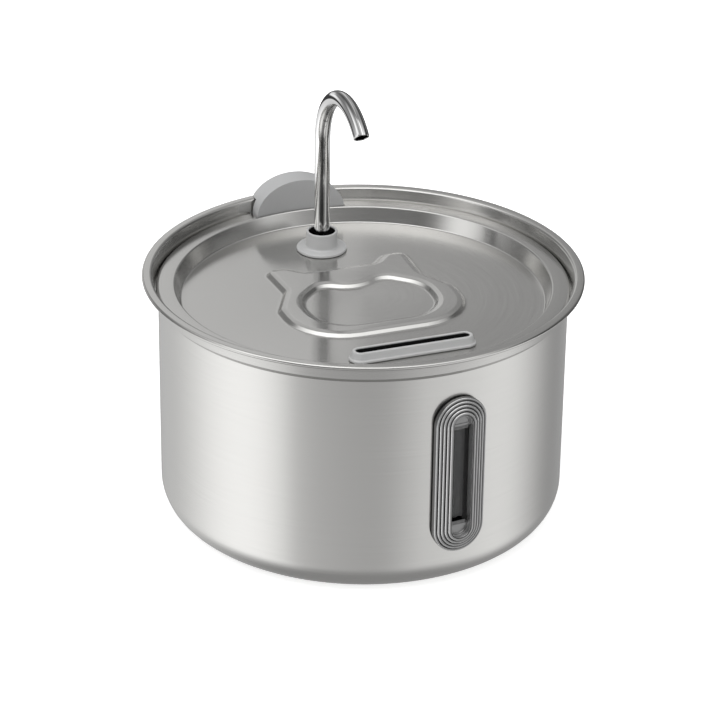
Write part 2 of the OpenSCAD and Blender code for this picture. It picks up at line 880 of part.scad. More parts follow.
module stator_core() {
    outer_x = limb_x + limb_w;
    color([0.45, 0.46, 0.48])
    difference() {
        union() {
            for (side = [-1, 1]) {
                translate([0, core_y + core_t / 2, motor_z + side * (core_half_h - yoke_h / 2)])
                    cube([2 * outer_x, core_t, yoke_h], center = true);
                translate([side * (limb_x + limb_w / 2), core_y + core_t / 2, motor_z])
                    cube([limb_w, core_t, 2 * core_half_h], center = true);
            }
            translate([0, core_y + core_t / 2, motor_z])
                cube([2 * shoe_x, core_t, 2 * core_half_h], center = true);
        }
        rod(core_bore_r, core_y - past, core_y + core_t + past);
    }
}

module stator_coils() {
    half_h = core_half_h - yoke_h - face_gap;
    color([0.72, 0.42, 0.2])
    for (side = [-1, 1])
        translate([side * (limb_x + limb_w / 2), core_y + core_t / 2, motor_z])
        difference() {
            cube([limb_w + 2 * (coil_t + face_gap), core_t + 2 * (coil_t + face_gap), 2 * half_h],
                center = true);
            cube([limb_w + 2 * face_gap, core_t + 2 * face_gap, 2 * half_h + past], center = true);
        }
}

module pump_circuit_board() {
    color([0.1, 0.35, 0.18])
    pocket_plate(board_y, board_t, 1);
}

module pump_back_plate() {
    color([0.12, 0.12, 0.13])
    difference() {
        pocket_plate(plate_y, plate_t, 2);
        rod(gland_r + face_gap, plate_y - past, pump_end + past, x = gland_x, z = gland_z);
    }
}

module pump_cord_gland() {
    y = plate_y + 4 * face_gap;
    face = plate_y + plate_t + face_gap;
    color([0.07, 0.07, 0.07])
    difference() {
        union() {
            rod(gland_r, y, face, x = gland_x, z = gland_z);
            rod(gland_r + gland_step, face, face + gland_step, x = gland_x, z = gland_z);
            rod(gland_r - gland_step, face, face + gland_nose_l, x = gland_x, z = gland_z);
        }
        rod(gland_bore_r, y - past, face + gland_nose_l + past, x = gland_x, z = gland_z);
    }
}

module boot(y) {
    color([0.1, 0.1, 0.1])
    difference() {
        rod(boot_r, y, y + boot_l);
        rod(shaft_r + press_gap, y - past, y + boot_l + past);
    }
}

module front_shaft_boot() {
    boot(front_boot_y);
}

module rear_shaft_boot() {
    boot(rear_boot_y);
}

module rotor_shaft() {
    color([0.93, 0.92, 0.88])
    rod(shaft_r, front_boot_y + face_gap, rear_boot_y + boot_l);
}

module rotor_magnet() {
    color([0.2, 0.2, 0.22])
    difference() {
        rod(magnet_r, magnet_y, magnet_y + magnet_l);
        rod(shaft_r + run_gap, magnet_y - past, magnet_y + magnet_l + past);
    }
}

module impeller() {
    hub_y = front_boot_y + boot_l + seat_gap;
    disc_y = well_y - disc_back - vane_t;
    tip_r = chamber_r - vane_tip;
    vane_y = hub_y + vane_t / 2;
    color([0.75, 0.78, 0.8])
    difference() {
        union() {
            rod(hub_r, hub_y, magnet_y - face_gap);
            rod(tip_r, disc_y, disc_y + vane_t);
            for (i = [0:vanes - 1])
                translate([0, vane_y, motor_z]) rotate([0, 360 * i / vanes, 0])
                    block([0, 0, -vane_t / 2],
                        [tip_r - vane_t / 4, disc_y + vane_t / 2 - vane_y, vane_t / 2]);
        }
        rod(shaft_r + run_gap, hub_y - past, magnet_y + past);
    }
}

module outlet_hose() {
    color([0.8, 0.82, 0.84])
    translate([0, spout_y, hose_z])
    difference() {
        cylinder(r = tube_r + hose_wall, h = hose_l);
        translate([0, 0, -past]) cylinder(r = tube_r + run_gap, h = hose_l + 2 * past);
    }
}

module intake_cover() {
    x = pump_w / 2 - pump_wall;
    h = pump_h / 2 - pump_wall;
    color([0.16, 0.16, 0.17])
    difference() {
        translate([0, cover_y, motor_z]) rotate([-90, 0, 0]) linear_extrude(height = cover_l)
            pump_outline();
        block([-x, cover_y + pump_wall, motor_z - h], [x, cover_y + cover_l + past, motor_z + h]);
        rod(dial_stem_r + run_gap, cover_y - past, cover_y + pump_wall + past);
        for (side = [-1, 1], i = [0:intake_slots - 1])
            translate([side * (intake_slot_x + i * intake_pitch), cover_y + pump_wall / 2, motor_z])
                cube([intake_slot_w, pump_wall + 2 * past, 2 * (h - pump_edge_r)], center = true);
    }
}

module intake_foam() {
    x = pump_w / 2 - pump_wall - side_gap;
    h = pump_h / 2 - pump_wall - side_gap;
    y = cover_y + cover_l - foam_t - side_gap;
    color([0.12, 0.12, 0.13])
    block([-x, y, motor_z - h], [x, y + foam_t, motor_z + h]);
}

module flow_dial() {
    y = cover_y - seat_gap;
    inside = cover_y + pump_wall + seat_gap;
    color([0.5, 0.52, 0.54]) {
        rod(dial_r, y - dial_t, y);
        rod(dial_stem_r, y - dial_t, inside + clip_t / 2);
        rod(dial_stem_r + clip_t, inside, inside + clip_t);
        block([dial_grip_w / 2 - dial_r, y - dial_t - dial_grip_h, motor_z - dial_grip_w / 2],
            [dial_r - dial_grip_w / 2, y - dial_t / 2, motor_z + dial_grip_w / 2]);
    }
}

module suction_cups() {
    foot = seat_gap - cup_h;
    neck_r = cup_stem_r + cup_lip_t;
    color([0.3, 0.3, 0.32])
    cup_places()
        rotate_extrude()
            polygon([[0, foot + cup_dish_h - cup_lip_t], [cup_r - 2 * cup_lip_t, foot], [cup_r, foot],
                [cup_r, foot + cup_lip_t], [neck_r, foot + cup_dish_h], [neck_r, -face_gap],
                [cup_stem_r, -face_gap], [cup_stem_r, plug_depth - face_gap],
                [0, plug_depth - face_gap]]);
}

bowl();
window_bezel();
window_outer_gasket();
window_lens();
window_inner_gasket();
window_clamp_frame();
window_screws();
cord_guide();
lid();
spout_collar();
spout_seal();
spout_tube();
spout_stop_ring();
drain_surround();
filter_holder();
filter_frame();
filter_top_felt();
filter_carbon();
filter_resin();
filter_bottom_felt();
pump_housing();
chamber_cover();
chamber_o_ring();
stator_core();
stator_coils();
pump_circuit_board();
pump_back_plate();
pump_cord_gland();
rotor_shaft();
front_shaft_boot();
rear_shaft_boot();
rotor_magnet();
impeller();
outlet_hose();
intake_cover();
intake_foam();
flow_dial();
suction_cups();
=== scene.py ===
"""Remodels and finishes the visible pieces of the pet water fountain, and sets its stage.

Lengths are in metres. +Z is up, -Y is the front, and the bowl stands on the origin.
"""
import json
import math
from functools import partial

import bmesh
import bpy
from bpy.props import FloatProperty, FloatVectorProperty, IntProperty, PointerProperty
from mathutils import Matrix, Vector

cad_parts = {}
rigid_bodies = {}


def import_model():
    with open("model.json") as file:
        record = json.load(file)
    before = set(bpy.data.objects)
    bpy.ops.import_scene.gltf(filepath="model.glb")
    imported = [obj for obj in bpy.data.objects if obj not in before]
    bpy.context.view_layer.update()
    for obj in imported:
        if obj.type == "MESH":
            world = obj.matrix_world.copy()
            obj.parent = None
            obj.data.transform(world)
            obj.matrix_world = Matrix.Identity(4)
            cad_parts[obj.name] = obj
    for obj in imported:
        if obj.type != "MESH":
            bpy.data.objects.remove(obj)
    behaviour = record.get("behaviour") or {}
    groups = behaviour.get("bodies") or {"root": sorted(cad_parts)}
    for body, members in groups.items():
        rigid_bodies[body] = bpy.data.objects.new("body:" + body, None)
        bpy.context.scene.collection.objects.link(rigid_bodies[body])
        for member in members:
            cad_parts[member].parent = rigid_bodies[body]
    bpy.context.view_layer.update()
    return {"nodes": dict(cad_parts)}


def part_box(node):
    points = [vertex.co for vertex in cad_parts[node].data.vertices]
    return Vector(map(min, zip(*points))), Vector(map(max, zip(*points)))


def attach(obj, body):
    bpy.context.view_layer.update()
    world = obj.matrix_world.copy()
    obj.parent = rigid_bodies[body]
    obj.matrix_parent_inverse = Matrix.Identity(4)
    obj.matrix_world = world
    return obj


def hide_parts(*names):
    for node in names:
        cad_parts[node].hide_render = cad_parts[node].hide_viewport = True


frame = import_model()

bl_info = {
    "name": "Pet water fountain",
    "version": (1, 0, 0),
    "blender": (4, 5, 0),
    "location": "View3D > Sidebar > Fountain",
    "description": "Remodels and finishes the pieces of a steel pet water fountain",
    "category": "Object",
}

NODES = frame["nodes"]
_, BOWL_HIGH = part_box("bowl")
_, LID_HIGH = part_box("lid")
TUBE_LOW, TUBE_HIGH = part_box("spout_tube")
COLLAR_LOW, COLLAR_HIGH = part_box("spout_collar")
SURROUND_LOW, SURROUND_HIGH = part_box("drain_surround")
GUIDE_LOW, GUIDE_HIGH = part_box("cord_guide")
GUIDE_INNER = 0.0956  # radius of the guide's inner face
SPOUT_Y = (COLLAR_LOW.y + COLLAR_HIGH.y) / 2
DRAIN_Y = (SURROUND_LOW.y + SURROUND_HIGH.y) / 2
FIT = 0.0003  # gap around what stands in a hole
CLEAR = 0.0002  # gap between pieces that lie on each other
MERGE = 1e-6  # points closer than this are one
LEVEL = 1e-5  # heights closer than this are the same
UP = (0, 0, 1)


def length(name, description, default):
    """A size that the user can change, in metres."""
    return FloatProperty(name=name, description=description, default=default, min=0, unit="LENGTH",
                         precision=4)


def degrees(name, description, default):
    """An angle that the user can change, given in degrees."""
    return FloatProperty(name=name, description=description, default=math.radians(default), subtype="ANGLE")


def colour(name, description, default):
    """A finish's colour."""
    return FloatVectorProperty(name=name, description=description, default=default, size=3, min=0, max=1,
                               subtype="COLOR")


# ---------------------------------------------------------------- sizes and colours


class FOUNTAIN_PG_bowl(bpy.types.PropertyGroup):
    """Sizes of the steel bowl"""

    wall_radius: length("Wall radius", "Radius of the straight wall", 0.1022)
    sheet: length("Sheet", "Thickness of the bowl's sheet", 0.0008)
    corner: length("Bottom corner", "Outer radius of the bottom corner", 0.0173)
    flare_height: length("Flared band", "Height of the flared band below the rim", 0.0113)
    lip_width: length("Lip", "Width of the rolled rim", 0.005)
    hem: length("Hem", "Thickness of the folded hem", 0.0022)
    ledge_depth: length("Ledge depth", "Depth of the lid's ledge below the rim", 0.0091)
    ledge_width: length("Ledge width", "Width of the lid's ledge", 0.0022)
    sides: IntProperty(name="Sides", description="Sides of the bowl's round", default=288, min=48)


class FOUNTAIN_PG_lid(bpy.types.PropertyGroup):
    """Sizes of the steel lid"""

    radius: length("Radius", "Outer radius of the lid", 0.1032)
    sheet: length("Sheet", "Thickness of the lid's sheet", 0.0008)
    ring_width: length("Ring", "Width of the flat ring", 0.0092)
    pan_depth: length("Pan depth", "Depth of the pan below the ring", 0.008)
    step_run: length("Step", "How far the step slopes inwards", 0.0029)
    edge_bend: length("Edge bend", "Bend radius of the outer edge", 0.0018)
    step_bend: length("Step bend", "Bend radius at the head and the foot of the step", 0.0009)
    relief: length("Relief", "Height of the raised cat head", 0.0021)
    relief_bend: length("Relief bend", "Bend radius along the relief's foot", 0.0016)
    crest_bend: length("Crest bend", "Bend radius along the relief's crest", 0.001)
    shoulder: length("Shoulder", "Width of the shallow shoulder inside the relief's crest", 0.0024)
    shoulder_rise: length("Shoulder rise", "Rise of the shallow shoulder", 0.00042)


class FOUNTAIN_PG_spout(bpy.types.PropertyGroup):
    """Sizes of the spout, its collar and the drain's surround"""

    tube_radius: length("Tube radius", "Outer radius of the tube", 0.004)
    tube_wall: length("Tube wall", "Thickness of the tube's wall", 0.0007)
    bend_radius: length("Bend", "Radius of the bend, to the tube's middle", 0.032)
    bend_angle: degrees("Bend angle", "Angle of the bend", 137)
    flange_radius: length("Flange", "Radius of the collar's flange", 0.013)
    barrel_radius: length("Barrel", "Radius of the collar's barrel", 0.0081)
    bore_radius: length("Bore", "Radius of the collar's bore", 0.0068)
    slot_length: length("Slot length", "Length of the drain slot", 0.0585)
    slot_width: length("Slot width", "Width of the drain slot", 0.0048)


class FOUNTAIN_PG_window(bpy.types.PropertyGroup):
    """Sizes of the level window and its bezel"""

    view_width: length("Opening width", "Width of the clear opening", 0.0102)
    view_height: length("Opening height", "Height of the clear opening", 0.066)
    side: length("Side", "Width of the bezel beside the opening", 0.0084)
    ring_width: length("Ring width", "Width of each of the bezel's rings", 0.00168)
    front: length("Front", "Distance of the bezel's front from the bowl's axis", 0.1075)
    back: length("Back", "Distance of the bezel's back from the bowl's axis", 0.10325)
    height: length("Height", "Height of the window's middle above the table", 0.0636)
    turn: degrees("Turn", "Turn of the window from the lid's centre line", 6)


class FOUNTAIN_PG_finish(bpy.types.PropertyGroup):
    """Colours of the finishes"""

    bowl_steel: colour("Bowl steel", "Brushed steel of the bowl and the lid", (0.63, 0.625, 0.61))
    tube_steel: colour("Tube steel", "Polished steel of the spout", (0.72, 0.72, 0.72))
    grey_plastic: colour("Grey plastic", "Plastic of the cord guide", (0.50, 0.503, 0.506))
    bezel_plastic: colour("Bezel plastic", "Plated plastic of the window's bezel", (0.29, 0.29, 0.29))
    frosted_plastic: colour("Light plastic", "Plastic of the collar and the drain's surround",
                            (0.55, 0.553, 0.553))
    black_plastic: colour("Black plastic", "Plastic of the pump", (0.022, 0.022, 0.024))
    rubber: colour("Rubber", "Rubber of the seals", (0.02, 0.02, 0.02))


class FOUNTAIN_PG_stage(bpy.types.PropertyGroup):
    """Camera, floor and light"""

    azimuth: degrees("Azimuth", "Turn of the camera around the bowl", -21)
    elevation: degrees("Elevation", "Angle of the camera above the table", 26.235)
    roll: degrees("Roll", "Roll of the camera", 0.784)
    distance: length("Distance", "Distance of the camera from its target", 1.4735)
    target: length("Target", "Height of the camera's target above the table", 0.0783)
    aside: length("Aside", "How far left of the bowl's axis the camera aims", 0.0011)
    lens: FloatProperty(name="Lens", description="Focal length on a 36 mm sensor", default=145.88, min=1,
                        subtype="DISTANCE_CAMERA")
    floor_size: length("Floor", "Width of the floor", 12)
    lamp_power: FloatProperty(name="Lamp", description="Power of the overhead lamp", default=6, min=0,
                              unit="POWER")


GROUPS = {
    "fountain_bowl": FOUNTAIN_PG_bowl,
    "fountain_lid": FOUNTAIN_PG_lid,
    "fountain_spout": FOUNTAIN_PG_spout,
    "fountain_window": FOUNTAIN_PG_window,
    "fountain_finish": FOUNTAIN_PG_finish,
    "fountain_stage": FOUNTAIN_PG_stage,
}


# ---------------------------------------------------------------- modelling by hand


def rounded(corners, steps=8, closed=True):
    """The points of an outline whose corners are (a, b, bend radius), with an arc at each bend."""
    points = []
    last = len(corners) - 1
    for i, (a, b, bend) in enumerate(corners):
        here = Vector((a, b))
        if bend == 0 or (not closed and i in (0, last)):
            points.append(here)
            continue
        before = (Vector(corners[i - 1][:2]) - here).normalized()
        after = (Vector(corners[(i + 1) % (last + 1)][:2]) - here).normalized()
        half = before.angle(after) / 2
        middle = here + (before + after).normalized() * bend / math.sin(half)
        first = here + before * bend / math.tan(half) - middle
        final = here + after * bend / math.tan(half) - middle
        start = math.atan2(first.y, first.x)
        sweep = (math.atan2(final.y, final.x) - start + math.pi) % (2 * math.pi) - math.pi
        for k in range(steps + 1):
            angle = start + sweep * k / steps
            points.append(middle + bend * Vector((math.cos(angle), math.sin(angle))))
    return points


def stadium(half_core, radius, middle=0.0, steps=16):
    """A long round-ended outline along the first axis, from half the distance of its ends' middles."""
    points = []
    for side in (1, -1):
        for k in range(steps + 1):
            angle = math.pi * (k / steps - 0.5)
            points.append((side * (half_core + radius * math.cos(angle)),
                           middle + side * radius * math.sin(angle)))
    return points


def core(long, wide):
    """Half the distance between the middles of a round-ended outline's ends."""
    return (long - wide) / 2


def mirrored(corners):
    """The same corners on the other side of the middle line, in reverse order."""
    return [(-a, b, bend) for a, b, bend in reversed(corners)]


def alone(piece):
    """Select one piece only."""
    bpy.ops.object.select_all(action="DESELECT")
    bpy.context.view_layer.objects.active = piece
    piece.select_set(True)


def begin(name):
    """Start an empty piece at the origin, in edit mode."""
    bpy.ops.object.select_all(action="DESELECT")
    bpy.ops.mesh.primitive_plane_add(size=0.01, location=(0, 0, 0))
    piece = bpy.context.object
    piece.name = name
    piece.data.name = name
    bpy.ops.object.mode_set(mode="EDIT")
    bpy.ops.mesh.select_all(action="SELECT")
    bpy.ops.mesh.delete(type="VERT")
    return piece


def select(kind, test):
    """Select the verts, edges or faces in edit mode that pass a test."""
    bpy.ops.mesh.select_mode(type={"verts": "VERT", "edges": "EDGE", "faces": "FACE"}[kind])
    bpy.ops.mesh.select_all(action="DESELECT")
    mesh = bmesh.from_edit_mesh(bpy.context.object.data)
    for part in getattr(mesh, kind):
        if test(part):
            part.select_set(True)
    bmesh.update_edit_mesh(bpy.context.object.data)


def weld():
    """Select all that the selection is linked to, and merge the points that meet."""
    bpy.ops.mesh.select_linked()
    bpy.ops.mesh.remove_doubles(threshold=MERGE)


def pull(*way):
    """Extrude what is selected."""
    bpy.ops.mesh.extrude_region_move(TRANSFORM_OT_translate={"value": way})


def wire(points, closed=False):
    """Draw a chain of edges by extruding one vertex from point to point, and leave it selected."""
    places = [Vector(p) for p in points]
    if closed:
        places.append(places[0])
    bpy.ops.mesh.select_mode(type="VERT")
    bpy.ops.mesh.primitive_circle_add(vertices=3, radius=0.0001, location=places[0])
    bpy.ops.mesh.merge(type="CENTER")
    for here, there in zip(places, places[1:]):
        bpy.ops.mesh.extrude_vertices_move(TRANSFORM_OT_translate={"value": there - here})
    weld()


def swing(angle, centre, axis, steps):
    """Spin what is selected. Without a window the operator turns the other way, so the angle is reversed."""
    bpy.ops.mesh.spin(steps=steps, angle=-angle, center=centre, axis=axis)


def turned(profile, sides, centre=(0, 0)):
    """Spin a profile of (radius, height) points around an upright axis."""
    wire([(centre[0] + r, centre[1], z) for r, z in profile])
    swing(2 * math.pi, (centre[0], centre[1], 0), UP, sides)
    weld()


def racetrack(section, half_core, steps=40):
    """Sweep a closed section of (distance, height) points around a long round-ended path along X."""
    wire([(-half_core, -r, z) for r, z in section], closed=True)
    for side in (1, -1):
        pull(2 * side * half_core, 0, 0)
        swing(math.pi, (side * half_core, 0, 0), UP, steps)
    weld()


def face_up(points, z):
    """Draw a closed outline at a height and fill it with one face that points up, which is left selected."""
    wire([(x, y, z) for x, y in points], closed=True)
    bpy.ops.mesh.edge_face_add()
    bpy.ops.mesh.select_mode(type="FACE")
    mesh = bmesh.from_edit_mesh(bpy.context.object.data)
    if any(f.select and f.normal.z < 0 for f in mesh.faces):
        bpy.ops.mesh.flip_normals()


def inset_along(profile):
    """Inset the selected face again and again, so that its edge follows a profile of (inwards, up) points."""
    for (run, rise), (next_run, next_rise) in zip(profile, profile[1:]):
        bpy.ops.mesh.inset(thickness=next_run - run, depth=next_rise - rise)


def leave_edit():
    """Close the seams, point the faces outwards and leave edit mode."""
    bpy.ops.mesh.select_mode(type="VERT")
    bpy.ops.mesh.select_all(action="SELECT")
    bpy.ops.mesh.remove_doubles(threshold=MERGE)
    bpy.ops.mesh.normals_make_consistent(inside=False)
    bpy.ops.object.mode_set(mode="OBJECT")


def modify(piece, kind, **settings):
    """Add a modifier to a piece and apply it."""
    alone(piece)
    bpy.ops.object.modifier_add(type=kind)
    modifier = piece.modifiers[-1]
    for name, value in settings.items():
        setattr(modifier, name, value)
    bpy.ops.object.modifier_apply(modifier=modifier.name)


def cut(piece, cutter, operation="DIFFERENCE"):
    """Cut a piece with another one, which is used up."""
    modify(piece, "BOOLEAN", operation=operation, object=cutter, solver="EXACT")
    bpy.data.objects.remove(cutter)


def column(name, radius, low, high):
    """A plain round column around the bowl's axis, for cutting."""
    begin(name)
    bpy.ops.mesh.primitive_cylinder_add(vertices=bpy.context.scene.fountain_bowl.sides, radius=radius,
                                        depth=high - low, location=(0, 0, (low + high) / 2))
    leave_edit()
    return bpy.context.object


def place(piece, turn):
    """Turn a finished mesh by a matrix, and leave its object at the origin."""
    piece.matrix_world = turn
    alone(piece)
    bpy.ops.object.transform_apply(location=True, rotation=True, scale=True)


def dress(piece, body, slot, coating, *nodes, crease=32):
    """Smooth a finished piece, give it its finish and let it stand for its CAD nodes."""
    alone(piece)
    bpy.ops.object.shade_smooth_by_angle(angle=math.radians(crease))
    piece.data.materials.clear()
    piece.data.materials.append(finish(coating))
    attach(piece, body)
    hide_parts(*nodes)


def paint(coating, *nodes):
    """Give CAD nodes that keep their shape a finish."""
    for name in nodes:
        for slot in NODES[name].material_slots:
            slot.material = finish(coating)


# ---------------------------------------------------------------- shader nodes


def feed(tree, source, socket):
    """Link a node's output to an input, or set a plain value on the input."""
    if isinstance(source, bpy.types.NodeSocket):
        tree.links.new(source, socket)
    else:
        socket.default_value = source


def add_node(tree, kind, inputs, **settings):
    """Add a node with its settings, feed its inputs by name or number, and return its outputs."""
    node = tree.nodes.new("ShaderNode" + kind)
    for name, value in settings.items():
        setattr(node, name, value)
    for name, source in inputs.items():
        feed(tree, source, node.inputs[name])
    return node.outputs


def math_node(tree, operation, *values):
    """A Math node of one to three numbers or sockets."""
    return add_node(tree, "Math", dict(enumerate(values)), operation=operation)[0]


def noise(tree, vector, scale, detail=3, roughness=0.5, **fourth):
    """The value of a Noise Texture, which may be given a fourth coordinate W."""
    inputs = {"Vector": vector, "Scale": scale, "Detail": detail, "Roughness": roughness, **fourth}
    return add_node(tree, "TexNoise", inputs, noise_dimensions="4D" if fourth else "3D")["Fac"]


def span(tree, value, low, high, to_low=0.0, to_high=1.0, smooth=False):
    """A Map Range node from low..high to to_low..to_high."""
    ends = {"Value": value, "From Min": low, "From Max": high, "To Min": to_low, "To Max": to_high}
    return add_node(tree, "MapRange", ends, interpolation_type="SMOOTHSTEP" if smooth else "LINEAR")["Result"]


def mix(tree, factor, a, b):
    """A colour between two others."""
    return add_node(tree, "Mix", {"Factor": factor, "A": a, "B": b}, data_type="RGBA")["Result"]


def tint(tree, base, factor, low, high):
    """A colour from a darker to a lighter tone of itself, by a factor."""
    return mix(tree, factor, *((*(min(1, part * level) for part in base), 1) for level in (low, high)))


def bump(tree, height, distance):
    """The normal that a height gives."""
    return add_node(tree, "Bump", {"Height": height, "Distance": distance, "Strength": 1.0})["Normal"]


def cross(tree, a, b):
    """The cross product of two directions."""
    return add_node(tree, "VectorMath", {0: a, 1: b}, operation="CROSS_PRODUCT")[0]


def parts(tree, vector):
    """The three coordinates of a vector."""
    return add_node(tree, "SeparateXYZ", {0: vector})


def joined(tree, *coordinates):
    """A vector of three coordinates."""
    return add_node(tree, "CombineXYZ", dict(enumerate(coordinates)))[0]


# ---------------------------------------------------------------- shared effects


def new_group(name, outputs, **numbers):
    """A shader node group of a vector and the numbers named, with its given and its asked sockets."""
    group = bpy.data.node_groups.new(name, "ShaderNodeTree")
    group.interface.new_socket("Vector", in_out="INPUT", socket_type="NodeSocketVector")
    for socket, default in numbers.items():
        made = group.interface.new_socket(socket, in_out="INPUT", socket_type="NodeSocketFloat")
        made.default_value = default
    for socket in outputs:
        group.interface.new_socket(socket, in_out="OUTPUT", socket_type="NodeSocketFloat")
    return group, group.nodes.new("NodeGroupInput").outputs, group.nodes.new("NodeGroupOutput").inputs


def turned_grain():
    """Fine marks around the bowl's axis, as a lathe or a brush leaves them, without a seam."""
    group, given, asked = new_group("Turned grain", ["Mark", "Patch"], Pitch=1500.0, Runs=2.2)
    do = partial(math_node, group)
    x, y, z = parts(group, given["Vector"])
    not_zero = 1e-8
    square = do("ADD", do("MULTIPLY", x, x), do("MULTIPLY", y, y))
    radius = do("SQRT", do("ADD", square, not_zero))
    around = [do("MULTIPLY", do("DIVIDE", part, radius), given["Runs"]) for part in (x, y)]
    along = joined(group, *around, do("MULTIPLY", z, given["Pitch"]))
    across = do("MULTIPLY", radius, given["Pitch"])
    fine = noise(group, along, 1.0, detail=2, roughness=0.7, W=across)
    coarse = noise(group, along, 0.3, detail=1, W=across)
    both = do("ADD", do("MULTIPLY", fine, 0.8), do("MULTIPLY", coarse, 0.2))
    feed(group, span(group, both, 0.3, 0.7), asked["Mark"])
    feed(group, noise(group, given["Vector"], 14.0, detail=2), asked["Patch"])


def scaled(group, given):
    """A group's vector times its scale."""
    return add_node(group, "VectorMath", {0: given["Vector"], "Scale": given["Scale"]}, operation="SCALE")[0]


def moulded_grain():
    """The faint pebble of moulded plastic, with slow changes of tone."""
    group, given, asked = new_group("Moulded grain", ["Height", "Tone"], Scale=2600.0)
    feed(group, noise(group, scaled(group, given), 1.0, detail=2), asked["Height"])
    feed(group, noise(group, given["Vector"], 45.0, detail=4, roughness=0.6), asked["Tone"])


def fibres():
    """Matted fibres or open cells, for felt and foam."""
    group, given, asked = new_group("Fibres", ["Height", "Tone"], Scale=900.0)
    where = scaled(group, given)
    cells = add_node(group, "TexVoronoi", {"Vector": where, "Scale": 1.0}, feature="DISTANCE_TO_EDGE")
    hair = noise(group, where, 1.7, detail=5, roughness=0.65)
    feed(group, math_node(group, "MULTIPLY", cells["Distance"], hair), asked["Height"])
    feed(group, hair, asked["Tone"])


def slot_distance(do, along, across, half):
    """How far a point lies from the middle line of a round-ended slot."""
    past = do("MAXIMUM", do("SUBTRACT", do("ABSOLUTE", along), half), 0.0)
    return do("SQRT", do("ADD", do("MULTIPLY", past, past), do("MULTIPLY", across, across)))


def sunk_shade():
    """Painted shade for the dark inside of a slot or a bore: a mask from its middle line, its radius and its
    rim's height.
    """
    group, given, asked = new_group("Sunk shade", ["Mask"], Half=0.0, Middle=0.0, Radius=0.005, Top=0.1)
    do = partial(math_node, group)
    x, y, z = parts(group, given["Vector"])
    across = do("SUBTRACT", y, given["Middle"])
    outside = do("SUBTRACT", slot_distance(do, x, across, given["Half"]), given["Radius"])
    inside = span(group, outside, 0.0001, 0.0003, 1.0, 0.0, smooth=True)
    deep = span(group, do("SUBTRACT", given["Top"], z), 0.0003, 0.0009, smooth=True)
    feed(group, do("MULTIPLY", inside, deep), asked["Mask"])


def ring_lines():
    """Painted highlight and shade around an upright slot: bright lines along each ring's outer edge and on
    the slot's wall, and painted shade in each groove.
    """
    group, given, asked = new_group("Ring lines", ["Edge", "Groove"],
                                    Half=0.0, Middle=0.0, Radius=0.01, Pitch=0.001, Width=0.008)
    do = partial(math_node, group)
    x, _, z = parts(group, given["Vector"])
    along = do("SUBTRACT", z, given["Middle"])
    inwards = do("SUBTRACT", given["Radius"], slot_distance(do, along, x, given["Half"]))
    step = do("FRACT", do("DIVIDE", inwards, given["Pitch"]))
    margin, wall = 0.0001, 0.0003
    inner = do("SUBTRACT", given["Width"], margin)
    on_ring = do("MULTIPLY", do("LESS_THAN", inwards, inner), do("GREATER_THAN", inwards, margin))
    on_wall = do("MULTIPLY", do("GREATER_THAN", inwards, inner),
                 do("LESS_THAN", inwards, do("ADD", inner, wall)))
    # painted highlight along each ring's edge, half as strong on the slot's wall; painted shade in each
    # groove
    edge = do("MULTIPLY", span(group, step, 0.14, 0.34, 1.0, 0.0, smooth=True), on_ring)
    groove = span(group, step, 0.62, 0.8, smooth=True)
    feed(group, do("ADD", edge, do("MULTIPLY", on_wall, 0.5)), asked["Edge"])
    feed(group, do("MULTIPLY", groove, on_ring), asked["Groove"])


def drawn_streaks_and_reflections():
    """The long marks that drawing leaves on a tube, side by side along the first axis, strong enough to stand
    as painted reflection stripes.
    """
    group, given, asked = new_group("Drawn streaks", ["Streak"], Pitch=750.0)
    do = partial(math_node, group)
    x, _, z = parts(group, given["Vector"])
    stretched = joined(group, do("MULTIPLY", x, given["Pitch"]), 0.0, do("MULTIPLY", z, 4.0))
    feed(group, span(group, noise(group, stretched, 1.0, detail=2), 0.40, 0.58, smooth=True), asked["Streak"])


EFFECTS = (turned_grain, moulded_grain, fibres, sunk_shade, ring_lines, drawn_streaks_and_reflections)


# ---------------------------------------------------------------- finishes


def object_place(tree):
    """A piece's own coordinates."""
    return add_node(tree, "TexCoord", {})["Object"]


def effect(tree, name, **values):
    """A shared effect with its own values, on the piece's coordinates where no other Vector is given."""
    if "Vector" not in values:
        values["Vector"] = object_place(tree)
    return add_node(tree, "Group", values, node_tree=bpy.data.node_groups[name])


def finish(name):
    """A finish by its name. The frame's plain materials have the same names, without the ending."""
    return bpy.data.materials[name + "_finish"]


def new_material(name):
    """A material with its node tree and its Principled shader."""
    material = bpy.data.materials.new(name + "_finish")
    material.use_nodes = True
    return material, material.node_tree, material.node_tree.nodes["Principled BSDF"]


def coat(tree, shader, **values):
    """Feed a shader's inputs; a name has _ for each space."""
    for name, value in values.items():
        feed(tree, value, shader.inputs[name.replace("_", " ")])


def brushed_steel(name, base, rough):
    """Stainless steel with turned marks, whose shine is drawn out across the marks."""
    _, tree, shader = new_material(name)
    grain = effect(tree, "Turned grain")
    facing = add_node(tree, "NewGeometry", {})["Normal"]
    across = cross(tree, facing, cross(tree, UP, object_place(tree)))
    patch = math_node(tree, "MULTIPLY", grain["Patch"], 0.03)
    marks = span(tree, grain["Mark"], 0, 1, rough - 0.02, rough + 0.015)
    coat(tree, shader, Metallic=1, Anisotropic=0.9, Tangent=across,
         Base_Color=tint(tree, base, grain["Mark"], 0.965, 1.02),
         Roughness=math_node(tree, "ADD", marks, patch), Normal=bump(tree, grain["Mark"], 0.0000015))


def polished_steel(name, base, rough):
    """Bright drawn steel, streaked along its length; the streaks are partly drawn marks and partly painted
    reflection stripes.
    """
    _, tree, shader = new_material(name)
    streak_and_reflection = effect(tree, "Drawn streaks")["Streak"]
    tone = effect(tree, "Moulded grain", Scale=900.0)["Tone"]
    # painted reflection: the base colour swings from dark to bright in stripes along the tube, over its drawn
    # marks
    coat(tree, shader, Metallic=1, Base_Color=tint(tree, base, streak_and_reflection, 0.22, 1.2),
         Roughness=span(tree, tone, 0.3, 0.7, rough, rough + 0.02))


